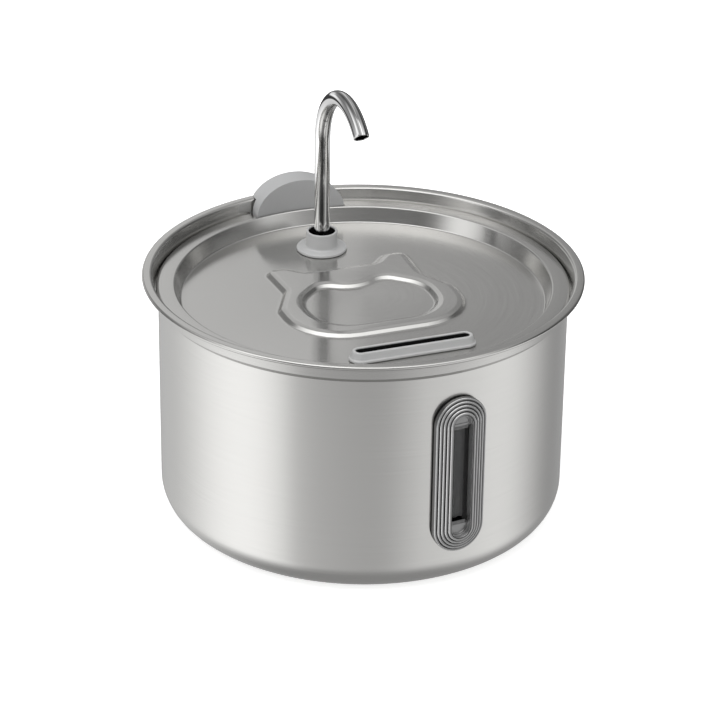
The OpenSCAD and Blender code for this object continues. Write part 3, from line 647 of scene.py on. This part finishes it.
def moulded_plastic(name, base, rough, scale=2600.0, grain_depth=0.00001, specular=0.5, soft=0.0, sunk=None):
    """Moulded plastic with a faint pebble; soft lets light in, and sunk paints shade into the inside of its
    hole.
    """
    _, tree, shader = new_material(name)
    grain = effect(tree, "Moulded grain", Scale=scale)
    tone = tint(tree, base, grain["Tone"], 0.93, 1.07)
    # painted shade: the inside of the hole is coloured near black, where it would lie in shade
    if sunk:
        tone = mix(tree, effect(tree, "Sunk shade", **sunk)["Mask"], tone, (0.012, 0.012, 0.012, 1))
    coat(tree, shader, Base_Color=tone, Specular_IOR_Level=specular,
         Roughness=span(tree, grain["Tone"], 0.3, 0.7, rough - 0.04, rough + 0.06),
         Normal=bump(tree, grain["Height"], grain_depth))
    if soft:
        coat(tree, shader, Subsurface_Weight=soft, Subsurface_Radius=(1, 1, 1), Subsurface_Scale=0.003)


def ringed_plastic(name, base, rough, turn, **sizes):
    """Plated plastic with painted highlights along each ring's edge and painted shade in the groove beside
    it.
    """
    _, tree, shader = new_material(name)
    do = partial(math_node, tree)
    grain = effect(tree, "Moulded grain", Scale=2000.0)
    straight = {"Vector": object_place(tree), "Angle": -turn}
    straight = add_node(tree, "VectorRotate", straight, rotation_type="Z_AXIS")["Vector"]
    rings = effect(tree, "Ring lines", Vector=straight, **sizes)
    edge_highlight = do("MULTIPLY", rings["Edge"], span(tree, grain["Tone"], 0.3, 0.7, 0.7, 1.0))
    # the base colour carries the painted highlights of the ring edges and the painted shade of the grooves
    tone = do("MULTIPLY", do("ADD", edge_highlight, 0.3), do("SUBTRACT", 1.0, rings["Groove"]))
    coat(tree, shader, Metallic=0.85, Base_Color=tint(tree, base, tone, 0.12, 2.6),
         Roughness=span(tree, edge_highlight, 0, 1, rough + 0.06, rough - 0.06),
         Normal=bump(tree, grain["Height"], 0.000006))


def clear_plastic(name, base):
    """The window's clear pane, with the haze of wiping."""
    _, tree, shader = new_material(name)
    tone = effect(tree, "Moulded grain", Scale=500.0)["Tone"]
    coat(tree, shader, Transmission_Weight=1, IOR=1.49, Base_Color=tint(tree, base, tone, 0.97, 1.0),
         Roughness=span(tree, tone, 0.3, 0.7, 0.05, 0.12))


def matted(name, base, scale, depth, rough=0.95):
    """Felt, foam or packed grains."""
    _, tree, shader = new_material(name)
    web = effect(tree, "Fibres", Scale=scale)
    coat(tree, shader, Base_Color=tint(tree, base, web["Tone"], 0.7, 1.2),
         Roughness=span(tree, web["Tone"], 0.2, 0.8, rough - 0.1, rough),
         Normal=bump(tree, web["Height"], depth))


def banded(name, base, metallic, rough, pitch, axis):
    """Stacked sheets or windings: fine bands across one axis."""
    _, tree, shader = new_material(name)
    tone = effect(tree, "Moulded grain", Scale=1800.0)["Tone"]
    across = parts(tree, object_place(tree))[axis]
    wave = math_node(tree, "SINE", math_node(tree, "MULTIPLY", across, 2 * math.pi / pitch))
    bands = span(tree, wave, -1, 1)
    coat(tree, shader, Metallic=metallic, Base_Color=tint(tree, base, bands, 0.6, 1.05),
         Roughness=span(tree, tone, 0.3, 0.7, rough - 0.05, rough + 0.08),
         Normal=bump(tree, bands, pitch / 8))


# ---------------------------------------------------------------- pieces


class FOUNTAIN_OT_finishes(bpy.types.Operator):
    """Mix every finish of the fountain"""

    bl_idname = "fountain.finishes"
    bl_label = "Finishes"

    def execute(self, context):
        paints = context.scene.fountain_finish
        spout = context.scene.fountain_spout
        window = context.scene.fountain_window
        for make in EFFECTS:
            make()
        # the collar's bore and the drain slot, where painted shade goes
        bore = {"Middle": SPOUT_Y, "Radius": spout.bore_radius, "Top": COLLAR_HIGH.z}
        slot = {"Half": core(spout.slot_length, spout.slot_width), "Middle": DRAIN_Y,
                "Radius": spout.slot_width / 2, "Top": SURROUND_HIGH.z}
        around = {"Half": core(window.view_height, window.view_width), "Middle": window.height,
                  "Radius": window.view_width / 2 + window.side, "Pitch": window.ring_width,
                  "Width": window.side}
        brushed_steel("bowl_steel", paints.bowl_steel, 0.15)
        polished_steel("polished_steel", paints.tube_steel, 0.06)
        polished_steel("screw_steel", (0.6, 0.6, 0.6), 0.25)
        moulded_plastic("grey_plastic", paints.grey_plastic, 0.42)
        ringed_plastic("bezel_plastic", paints.bezel_plastic, 0.22, window.turn, **around)
        moulded_plastic("collar_plastic", paints.frosted_plastic, 0.22, sunk=bore)
        moulded_plastic("surround_plastic", paints.frosted_plastic, 0.22, sunk=slot)
        clear_plastic("clear_window", (0.36, 0.37, 0.37))
        moulded_plastic("dark_rubber", paints.rubber, 0.7, scale=1500.0, specular=0.3)
        moulded_plastic("clamp_plastic", (0.07, 0.07, 0.073), 0.5)
        moulded_plastic("holder_plastic", (0.16, 0.165, 0.17), 0.35)
        moulded_plastic("filter_plastic", (0.78, 0.78, 0.76), 0.4)
        matted("felt", (0.30, 0.30, 0.29), 1400.0, 0.0004)
        matted("carbon", (0.014, 0.014, 0.015), 1100.0, 0.0006, rough=0.75)
        matted("resin_beads", (0.55, 0.29, 0.07), 1300.0, 0.0006, rough=0.4)
        moulded_plastic("pump_plastic", paints.black_plastic, 0.45, grain_depth=0.00002)
        banded("core_steel", (0.35, 0.36, 0.38), 0.9, 0.4, 0.0005, 1)
        banded("coil_copper", (0.62, 0.23, 0.08), 0.9, 0.3, 0.0004, 2)
        moulded_plastic("circuit_board", (0.01, 0.11, 0.035), 0.3, scale=700.0)
        moulded_plastic("ceramic", (0.85, 0.83, 0.77), 0.15, scale=600.0)
        moulded_plastic("ferrite", (0.03, 0.03, 0.032), 0.5, scale=1800.0, grain_depth=0.00003)
        moulded_plastic("impeller_plastic", (0.66, 0.69, 0.72), 0.3)
        moulded_plastic("hose_silicone", (0.58, 0.62, 0.64), 0.3, scale=900.0, soft=0.6)
        matted("foam", (0.018, 0.018, 0.02), 800.0, 0.0008)
        moulded_plastic("dial_plastic", (0.19, 0.2, 0.21), 0.4)
        moulded_plastic("cup_rubber", (0.06, 0.06, 0.065), 0.35, scale=1200.0)
        return {"FINISHED"}


class FOUNTAIN_OT_bowl(bpy.types.Operator):
    """Turn the steel bowl with its rolled rim, its lid ledge and the window's hole"""

    bl_idname = "fountain.bowl"
    bl_label = "Bowl"

    def execute(self, context):
        sizes = context.scene.fountain_bowl
        window = context.scene.fountain_window
        rim = BOWL_HIGH.x
        top = BOWL_HIGH.z
        wall = sizes.wall_radius
        inside = wall - sizes.sheet
        throat = inside + sizes.ledge_width
        shoulder = throat + sizes.sheet
        lip = rim - sizes.lip_width
        crease = top - sizes.flare_height
        ledge = top - sizes.ledge_depth
        round_hem = 0.49 * sizes.hem
        bowl = begin("steel_bowl")
        profile = rounded([
            (0, 0, 0), (wall, 0, sizes.corner), (wall, crease, 0.0006),
            (shoulder, crease + shoulder - wall, 0.001), (lip + sizes.sheet, top - sizes.hem, 0.0006),
            (rim, top - sizes.hem, round_hem), (rim, top, round_hem), (lip, top, 0.0016),
            (throat, ledge, 0), (inside, ledge, 0.0004), (inside, sizes.sheet, sizes.corner - sizes.sheet),
            (0, sizes.sheet, 0)], steps=12, closed=False)
        turned(profile, sizes.sides)
        leave_edit()
        lap, near, depth = 0.003, 0.09, 0.02
        begin("hole")
        face_up(stadium(core(window.view_height, window.view_width), window.view_width / 2 + lap), near)
        pull(0, 0, depth)
        leave_edit()
        hole = context.object
        place(hole, window_frame(window))
        cut(bowl, hole)
        dress(bowl, "bowl", "bowl_steel", "bowl_steel", "bowl")
        return {"FINISHED"}


def window_frame(window):
    """The turn that carries a shape drawn flat, long along X, to the window: X goes up and Z outwards."""
    upright = Matrix(((0, -1, 0, 0), (0, 0, -1, 0), (1, 0, 0, window.height), (0, 0, 0, 1)))
    return Matrix.Rotation(window.turn, 4, "Z") @ upright


class FOUNTAIN_OT_lid(bpy.types.Operator):
    """Press the steel lid: ring, step, pan and the raised cat head, with its holes"""

    bl_idname = "fountain.lid"
    bl_label = "Lid"

    def execute(self, context):
        sizes = context.scene.fountain_lid
        spout = context.scene.fountain_spout
        ring_z = LID_HIGH.z
        ring = sizes.radius - sizes.ring_width
        pan = ring - sizes.step_run
        pan_z = ring_z - sizes.pan_depth
        skirt_z = BOWL_HIGH.z - context.scene.fountain_bowl.ledge_depth + CLEAR
        rest = pan - 0.0035
        lid = begin("steel_lid")
        profile = rounded([
            (sizes.radius, skirt_z, 0), (sizes.radius, ring_z, sizes.edge_bend),
            (ring, ring_z, sizes.step_bend), (pan, pan_z, sizes.step_bend), (rest, pan_z, 0)],
            steps=12, closed=False)
        turned(profile, context.scene.fountain_bowl.sides)

        # the raised head, whose side is a hollow bend, a slope, a round bend and a shallow shoulder
        slope, strip, grow, inside = 0.0017, 0.003, 0.0017, 0.0021
        top = slope + sizes.shoulder
        section = [(-strip, 0, 0), (0, 0, sizes.relief_bend),
                   (slope, sizes.relief - sizes.shoulder_rise, sizes.crest_bend),
                   (top, sizes.relief, 0.004), (top + strip, sizes.relief, 0)]
        side = rounded(section, steps=6, closed=False)[1:-1]
        head = [(0.0160, 0.0330, 0.006), (0.0240, 0.0415, 0.0075), (0.0386, 0.0415, 0.0072),
                (0.0372, 0.013, 0.0045), (0.047, -0.003, 0.009), (0.047, -0.0445, 0.0315)]
        face_up(rounded([(x + math.copysign(grow, x), y + math.copysign(grow, y), bend)
                         for x, y, bend in head + mirrored(head)]), pan_z)
        inset_along([(0, 0)] + [(run + grow, rise) for run, rise in side])
        bpy.ops.mesh.inset(thickness=0.0004)
        bpy.ops.mesh.delete(type="ONLY_FACE")

        # the sunk face inside it
        face = [(0.0172, 0.0212, 0.012), (0.0372, 0.003, 0.0245), (0.0357, -0.037, 0.0245)]
        face_up(rounded([(0, 0.0115, 0.014)] + face + mirrored(face)), pan_z + sizes.relief)
        side = rounded(section[::-1], steps=6, closed=False)[1:-1]
        inset_along([(0, 0)] + [(slope + inside - run, rise - sizes.relief) for run, rise in side])
        bpy.ops.mesh.inset(thickness=0.0004)

        # the holes of the collar and the drain's neck
        radius = spout.barrel_radius + FIT
        bpy.ops.mesh.select_mode(type="VERT")
        bpy.ops.mesh.primitive_circle_add(vertices=64, radius=radius, location=(0, SPOUT_Y, pan_z))
        neck = 0.0018  # the neck's wall and the gap around it
        slot = stadium(core(spout.slot_length, spout.slot_width), spout.slot_width / 2 + neck, DRAIN_Y)
        wire([(x, y, pan_z) for x, y in slot], closed=True)

        # flat sheet between the outlines, at the pan and on top of the head
        for z in (pan_z, pan_z + sizes.relief):
            select("edges", lambda e: len(e.link_faces) < 2 and all(abs(v.co.z - z) < LEVEL for v in e.verts))
            bpy.ops.mesh.fill(use_beauty=True)
        leave_edit()
        bpy.ops.object.mode_set(mode="EDIT")
        mesh = bmesh.from_edit_mesh(lid.data)
        if sum(f.normal.z * f.calc_area() for f in mesh.faces if abs(f.normal.z) > 0.99) < 0:
            bpy.ops.mesh.select_all(action="SELECT")
            bpy.ops.mesh.flip_normals()
        bpy.ops.object.mode_set(mode="OBJECT")
        modify(lid, "SOLIDIFY", thickness=sizes.sheet, offset=-1, use_even_offset=True)

        # the notch that the cord guide stands in
        begin("notch")
        gap, beyond, below, tall = 0.0006, 0.12, 0.002, 0.006
        reach = GUIDE_HIGH.x + gap
        inner = GUIDE_INNER - FIT
        across = math.asin(reach / inner)
        arc = [(inner * math.sin(across * k / 12), inner * math.cos(across * k / 12)) for k in range(-12, 13)]
        face_up(arc + [(reach, beyond), (-reach, beyond)], skirt_z - below)
        pull(0, 0, tall)
        leave_edit()
        cut(lid, context.object)
        dress(lid, "lid", "bowl_steel", "bowl_steel", "lid")
        return {"FINISHED"}


class FOUNTAIN_OT_spout(bpy.types.Operator):
    """Bend the steel spout tube"""

    bl_idname = "fountain.spout"
    bl_label = "Spout"

    def execute(self, context):
        sizes = context.scene.fountain_spout
        radius = sizes.tube_radius
        y = TUBE_HIGH.y - radius
        low = TUBE_LOW.z
        bend_z = TUBE_HIGH.z - radius - sizes.bend_radius
        tube = begin("spout_pipe")
        bpy.ops.mesh.primitive_circle_add(vertices=64, radius=radius, location=(0, y, low))
        for height in (0.6, 0.4):
            pull(0, 0, height * (bend_z - low))
        swing(sizes.bend_angle, (0, y - sizes.bend_radius, bend_z), (1, 0, 0), 56)
        leave_edit()
        modify(tube, "SOLIDIFY", thickness=sizes.tube_wall, offset=-1)
        modify(tube, "BEVEL", width=0.00022, segments=3, limit_method="ANGLE", angle_limit=math.radians(60))
        dress(tube, "spout", "polished_steel", "polished_steel", "spout_tube")
        paint("polished_steel", "spout_stop_ring")
        paint("dark_rubber", "spout_seal")
        return {"FINISHED"}


class FOUNTAIN_OT_collar(bpy.types.Operator):
    """Turn the collar that the spout stands in"""

    bl_idname = "fountain.collar"
    bl_label = "Collar"

    def execute(self, context):
        sizes = context.scene.fountain_spout
        low, top = COLLAR_LOW.z, COLLAR_HIGH.z
        foot = LID_HIGH.z - context.scene.fountain_lid.pan_depth + CLEAR
        flange = foot + 0.0016
        shelf = sizes.tube_radius + 0.0012
        seat = low + 0.005
        collar = begin("collar_bush")
        profile = rounded([
            (sizes.bore_radius, top, 0.0004), (sizes.barrel_radius, top, 0.0005),
            (sizes.barrel_radius, flange, 0.0012), (sizes.flange_radius, flange, 0.0008),
            (sizes.flange_radius, foot, 0.0003), (sizes.barrel_radius, foot, 0),
            (sizes.barrel_radius, low, 0.0004), (shelf, low, 0.0002), (shelf, seat, 0.0002),
            (sizes.bore_radius, seat, 0)], steps=6)
        turned([*profile, profile[0]], 96, centre=(0, SPOUT_Y))
        leave_edit()
        dress(collar, "collar", "frosted_plastic", "collar_plastic", "spout_collar")
        return {"FINISHED"}


class FOUNTAIN_OT_drain(bpy.types.Operator):
    """Sweep the raised surround of the drain slot, and finish the filter under it"""

    bl_idname = "fountain.drain"
    bl_label = "Drain and filter"

    def execute(self, context):
        sizes = context.scene.fountain_spout
        slot = sizes.slot_width / 2
        neck = slot + 0.0015
        low, top = SURROUND_LOW.z, SURROUND_HIGH.z
        foot = LID_HIGH.z - context.scene.fountain_lid.pan_depth + CLEAR
        edge = SURROUND_HIGH.x - sizes.slot_length / 2 + slot
        surround = begin("drain_frame")
        section = rounded([
            (slot, top, 0.0004), (neck, top, 0.0007), (edge - 0.0007, foot + 0.0014, 0.0009),
            (edge, foot + 0.0011, 0.0006), (edge, foot, 0.0003), (neck, foot, 0), (neck, low, 0.0003),
            (slot, low, 0.0003)], steps=5)
        racetrack(section, core(sizes.slot_length, sizes.slot_width))
        leave_edit()
        place(surround, Matrix.Translation((0, DRAIN_Y, 0)))
        dress(surround, "drain_surround", "frosted_plastic", "surround_plastic", "drain_surround")
        paint("holder_plastic", "filter_holder")
        paint("filter_plastic", "filter_frame")
        paint("felt", "filter_top_felt", "filter_bottom_felt")
        paint("carbon", "filter_carbon")
        paint("resin_beads", "filter_resin")
        return {"FINISHED"}


class FOUNTAIN_OT_guide(bpy.types.Operator):
    """Shape the domed cord guide at the back of the rim"""

    bl_idname = "fountain.guide"
    bl_label = "Cord guide"

    def execute(self, context):
        half = GUIDE_HIGH.x
        low, top = GUIDE_LOW.z, GUIDE_HIGH.z
        back, deep, above, beyond = 0.13, 0.06, 0.2, 0.12
        shoulder = LID_HIGH.z
        guide = begin("cord_dome")
        arc = [(half * math.cos(math.pi * k / 64), shoulder + (top - shoulder) * math.sin(math.pi * k / 64))
               for k in range(65)]
        face_up([(-half, low), (half, low), *arc], 0)
        pull(0, 0, deep)
        leave_edit()
        place(guide, Matrix(((1, 0, 0, 0), (0, 0, -1, back), (0, 1, 0, 0), (0, 0, 0, 1))))
        cut(guide, column("outer", GUIDE_HIGH.y, 0, above), "INTERSECT")
        cut(guide, column("inner", GUIDE_INNER, 0, above))
        ring = column("rim", beyond, 0, BOWL_HIGH.z + CLEAR)
        cut(ring, column("throat", context.scene.fountain_lid.radius, -0.01, above))
        cut(guide, ring)
        modify(guide, "BEVEL", width=0.002, segments=5, limit_method="ANGLE", angle_limit=math.radians(50))
        dress(guide, "cord_guide", "grey_plastic", "grey_plastic", "cord_guide", crease=40)
        return {"FINISHED"}


class FOUNTAIN_OT_window(bpy.types.Operator):
    """Build the level window's stepped bezel, and finish its pane, gaskets, clamp and screws"""

    bl_idname = "fountain.window"
    bl_label = "Level window"

    def execute(self, context):
        sizes = context.scene.fountain_window
        hole = sizes.view_width / 2
        half = core(sizes.view_height, sizes.view_width)
        low = sizes.back - 0.003
        wall = sizes.back, 0.01, 0.12  # radius, foot and top of the round that the back is cut to
        rings, inwards, upwards, groove, bend = 5, sizes.ring_width, 0.0006, 0.00035, 0.00055
        stairs = [(hole + sizes.side, low, 0)]
        for k in range(rings):
            outer = hole + sizes.side - k * inwards
            level = sizes.front - (rings - 1 - k) * upwards
            inner = outer - inwards + groove if k < rings - 1 else hole
            stairs += [(outer, level, bend), (inner, level, bend)]
            if k < rings - 1:
                stairs += [(inner, level - groove, 0), (inner - groove, level - groove, 0)]
        section = rounded([*stairs, (hole, low, 0)], steps=5)
        bezel = begin("window_frame")
        racetrack(section, half)
        leave_edit()
        place(bezel, window_frame(sizes))
        cut(bezel, column("wall", *wall))
        # a half-round boss at each end of the opening, for the screws
        recess, boss, dome, overlap = 0.0026, 0.0065, 0.0004, 0.0002
        for side in (1, -1):
            reach = hole + overlap
            flat = side * (half + hole) - side * boss
            angle = math.acos(max(-1, min(1, (side * flat - half) / reach)))
            arc = [(side * (half + reach * math.cos(angle * k / 12)), reach * math.sin(angle * k / 12))
                   for k in range(-12, 13)]
            pad = begin("boss")
            face_up(arc, low)
            pull(0, 0, sizes.front - recess - low - dome)
            for run, rise in ((0.00015, 0.0003), (0.0003, 0.0001), (0.0009, 0), (0.0002, -0.0003)):
                bpy.ops.mesh.inset(thickness=run, depth=rise)
            leave_edit()
            place(pad, window_frame(sizes))
            cut(pad, column("wall", *wall))
            alone(bezel)
            pad.select_set(True)
            bpy.ops.object.join()
        dress(bezel, "bowl", "grey_plastic", "bezel_plastic", "window_bezel", crease=40)
        paint("clear_window", "window_lens")
        paint("dark_rubber", "window_outer_gasket", "window_inner_gasket")
        paint("clamp_plastic", "window_clamp_frame")
        paint("screw_steel", "window_screws")
        return {"FINISHED"}


class FOUNTAIN_OT_pump(bpy.types.Operator):
    """Finish the submersible pump with its motor, rotor, hose and intake"""

    bl_idname = "fountain.pump"
    bl_label = "Pump"

    def execute(self, context):
        paint("pump_plastic", "pump_housing", "chamber_cover", "pump_back_plate", "intake_cover")
        paint("dark_rubber", "chamber_o_ring", "pump_cord_gland", "front_shaft_boot", "rear_shaft_boot")
        paint("core_steel", "stator_core")
        paint("coil_copper", "stator_coils")
        paint("circuit_board", "pump_circuit_board")
        paint("ceramic", "rotor_shaft")
        paint("ferrite", "rotor_magnet")
        paint("impeller_plastic", "impeller")
        paint("hose_silicone", "outlet_hose")
        paint("foam", "intake_foam")
        paint("dial_plastic", "flow_dial")
        paint("cup_rubber", "suction_cups")
        return {"FINISHED"}


# ---------------------------------------------------------------- stage


# Brightness around the bowl, half of the radiance, by the place on the way around: 0 is straight behind the
# bowl, 0.25 at its left, 0.5 at the camera's side and 0.75 at its right.
UNDER_LIGHT = {0.0: 0.17, 1.0: 0.17}
BASE_LIGHT = {
    0.0: 0.20, 0.04: 0.26, 0.08: 0.32, 0.14: 0.37, 0.20: 0.53, 0.25: 0.68, 0.295: 0.73, 0.335: 0.70,
    0.37: 0.58, 0.40: 0.38, 0.44: 0.33, 0.50: 0.29, 0.54: 0.29, 0.57: 0.36, 0.60: 0.42, 0.69: 0.50,
    0.75: 0.56, 0.80: 0.44, 0.86: 0.19, 0.92: 0.20, 1.0: 0.20}
LOW_LIGHT = {
    0.0: 0.25, 0.04: 0.28, 0.08: 0.32, 0.14: 0.39, 0.20: 0.56, 0.25: 0.68, 0.295: 0.73, 0.335: 0.70,
    0.37: 0.58, 0.40: 0.32, 0.44: 0.235, 0.50: 0.195, 0.54: 0.195, 0.57: 0.28, 0.60: 0.41, 0.69: 0.53,
    0.75: 0.61, 0.80: 0.49, 0.86: 0.19, 0.92: 0.20, 1.0: 0.25}
WALL_LIGHT = {
    0.0: 0.03, 0.17: 0.02, 0.20: 0.05, 0.23: 0.22, 0.28: 0.40, 0.34: 0.38, 0.38: 0.16, 0.50: 0.16,
    0.55: 0.30, 0.62: 0.34, 0.68: 0.44, 0.73: 0.36, 0.77: 0.04, 1.0: 0.03}
LEVEL_LIGHT = {
    0.0: 0.02, 0.03: 0.06, 0.06: 0.52, 0.13: 0.52, 0.17: 0.08, 0.22: 0.12, 0.27: 0.42, 0.31: 0.50,
    0.36: 0.46, 0.40: 0.10, 0.50: 0.10, 0.60: 0.26, 0.67: 0.46, 0.72: 0.12, 0.76: 0.02, 0.92: 0.06,
    1.0: 0.02}
HIGH_LIGHT = {
    0.0: 0.33, 0.014: 0.39, 0.04: 0.30, 0.08: 0.14, 0.16: 0.12, 0.21: 0.16, 0.26: 0.14, 0.30: 0.60,
    0.34: 0.66, 0.375: 0.06, 0.42: 0.10, 0.50: 0.10, 0.56: 0.13, 0.62: 0.24, 0.67: 0.50, 0.71: 0.12,
    0.80: 0.03, 0.92: 0.12, 1.0: 0.20}
CROWN_LIGHT = {
    0.0: 0.34, 0.10: 0.16, 0.20: 0.44, 0.30: 0.94, 0.40: 0.94, 0.50: 0.80, 0.66: 0.74, 0.74: 0.42,
    0.82: 0.18, 0.92: 0.16, 1.0: 0.34}
# Where each band of the sky starts and is full, by the height of a direction of length one.
SKY = [
    (-0.95, -0.60, BASE_LIGHT), (-0.49, -0.38, LOW_LIGHT), (-0.345, -0.30, WALL_LIGHT),
    (-0.12, -0.04, LEVEL_LIGHT), (0.07, 0.24, HIGH_LIGHT), (0.53, 0.68, CROWN_LIGHT),
]


def ramp(tree, value, stops):
    """The greys of a Color Ramp with the stops named by their place."""
    node = tree.nodes.new("ShaderNodeValToRGB")
    node.color_ramp.interpolation = "B_SPLINE"
    elements = node.color_ramp.elements
    for where in list(stops)[1:-1]:
        elements.new(where)
    for element, grey in zip(elements, stops.values()):
        element.color = (grey, grey, grey, 1)
    tree.links.new(value, node.inputs[0])
    return node.outputs[0]


def set_camera(scene, stage):
    """Aim the camera at the bowl from the stage's angles, and roll it."""
    turn, rise = stage.azimuth, stage.elevation
    back = Vector((math.sin(turn) * math.cos(rise), -math.cos(turn) * math.cos(rise), math.sin(rise)))
    right = Vector((math.cos(turn), math.sin(turn), 0))
    above = back.cross(right)
    cos_roll, sin_roll = math.cos(stage.roll), math.sin(stage.roll)
    axes = (cos_roll * right + sin_roll * above, cos_roll * above - sin_roll * right, back)
    pose = Matrix(axes).transposed().to_4x4()
    pose.translation = Vector((0, 0, stage.target)) - right * stage.aside + back * stage.distance
    bpy.ops.object.camera_add()
    camera = bpy.context.object
    camera.name = "camera"
    camera.matrix_world = pose
    camera.data.sensor_width = 36
    camera.data.lens = stage.lens
    camera.data.clip_start = 0.01
    scene.camera = camera


def lay_floor(stage):
    """Lay a pale paper floor, which the steel doesn't mirror."""
    bpy.ops.object.select_all(action="DESELECT")
    bpy.ops.mesh.primitive_plane_add(size=stage.floor_size, location=(0, 0, 0))
    floor = bpy.context.object
    floor.name = "floor"
    floor.visible_glossy = False
    material, tree, shader = new_material("floor_paper")
    coat(tree, shader, Base_Color=(0.93, 0.93, 0.93, 1), Roughness=1, Specular_IOR_Level=0,
         Emission_Color=(1, 1, 1, 1), Emission_Strength=0.62)
    floor.data.materials.append(material)


def hang_lamp(stage):
    """Hang a wide lamp over the bowl, which gives it its soft shadow."""
    bpy.ops.object.light_add(type="AREA", location=(-0.5, -0.2, 2.2))
    lamp = bpy.context.object
    lamp.name = "overhead_lamp"
    lamp.rotation_euler = (-lamp.location).to_track_quat("-Z", "Y").to_euler()
    lamp.data.energy = stage.lamp_power
    lamp.data.shape = "DISK"
    lamp.data.size = 1.6
    lamp.visible_glossy = False


def light_sky(scene, turn):
    """Light the world in bands, turned as the camera is, behind a white that only the camera sees."""
    world = bpy.data.worlds.new("studio")
    world.use_nodes = True
    tree = world.node_tree
    where = add_node(tree, "TexCoord", {})["Generated"]
    aligned = add_node(tree, "Mapping", {"Vector": where, "Rotation": (0, 0, turn)}, vector_type="TEXTURE")[0]
    x, y, z = parts(tree, aligned)
    angle_around = math_node(tree, "ARCTAN2", x, math_node(tree, "MULTIPLY", y, -1.0))
    around = span(tree, angle_around, -math.pi, math.pi)
    light = ramp(tree, around, UNDER_LIGHT)
    for start, full, stops in SKY:
        light = mix(tree, span(tree, z, start, full, smooth=True), light, ramp(tree, around, stops))
    lit = tree.nodes["Background"]
    feed(tree, light, lit.inputs["Color"])
    lit.inputs["Strength"].default_value = 2
    white = add_node(tree, "Background", {"Color": (1, 1, 1, 1)})[0]
    seen = add_node(tree, "LightPath", {})["Is Camera Ray"]
    surface = add_node(tree, "MixShader", {0: seen, 1: lit.outputs[0], 2: white})[0]
    feed(tree, surface, tree.nodes["World Output"].inputs[0])
    scene.world = world


class FOUNTAIN_OT_stage(bpy.types.Operator):
    """Set the camera, the pale floor and the soft studio light"""

    bl_idname = "fountain.stage"
    bl_label = "Stage"

    def execute(self, context):
        stage = context.scene.fountain_stage
        set_camera(context.scene, stage)
        lay_floor(stage)
        hang_lamp(stage)
        light_sky(context.scene, stage.azimuth)
        context.scene.view_settings.view_transform = "Standard"
        return {"FINISHED"}


PIECES = (FOUNTAIN_OT_finishes, FOUNTAIN_OT_bowl, FOUNTAIN_OT_lid, FOUNTAIN_OT_spout, FOUNTAIN_OT_collar,
          FOUNTAIN_OT_drain, FOUNTAIN_OT_guide, FOUNTAIN_OT_window, FOUNTAIN_OT_pump, FOUNTAIN_OT_stage)


class FOUNTAIN_PT_panel(bpy.types.Panel):
    """Sizes, colours and pieces of the fountain"""

    bl_idname = "FOUNTAIN_PT_panel"
    bl_label = "Pet water fountain"
    bl_space_type = "VIEW_3D"
    bl_region_type = "UI"
    bl_category = "Fountain"

    def draw(self, context):
        for group, kind in GROUPS.items():
            box = self.layout.box()
            box.label(text=kind.__doc__)
            for name in kind.__annotations__:
                box.prop(getattr(context.scene, group), name)
        for piece in PIECES:
            self.layout.operator(piece.bl_idname)


def register():
    for kind in (*GROUPS.values(), *PIECES, FOUNTAIN_PT_panel):
        bpy.utils.register_class(kind)
    for name, kind in GROUPS.items():
        setattr(bpy.types.Scene, name, PointerProperty(type=kind))


def unregister():
    for name in GROUPS:
        delattr(bpy.types.Scene, name)
    for kind in reversed((*GROUPS.values(), *PIECES, FOUNTAIN_PT_panel)):
        bpy.utils.unregister_class(kind)


def main():
    register()
    for piece in PIECES:
        family, operator = piece.bl_idname.split(".")
        getattr(getattr(bpy.ops, family), operator)()


if __name__ == "__main__":
    main()
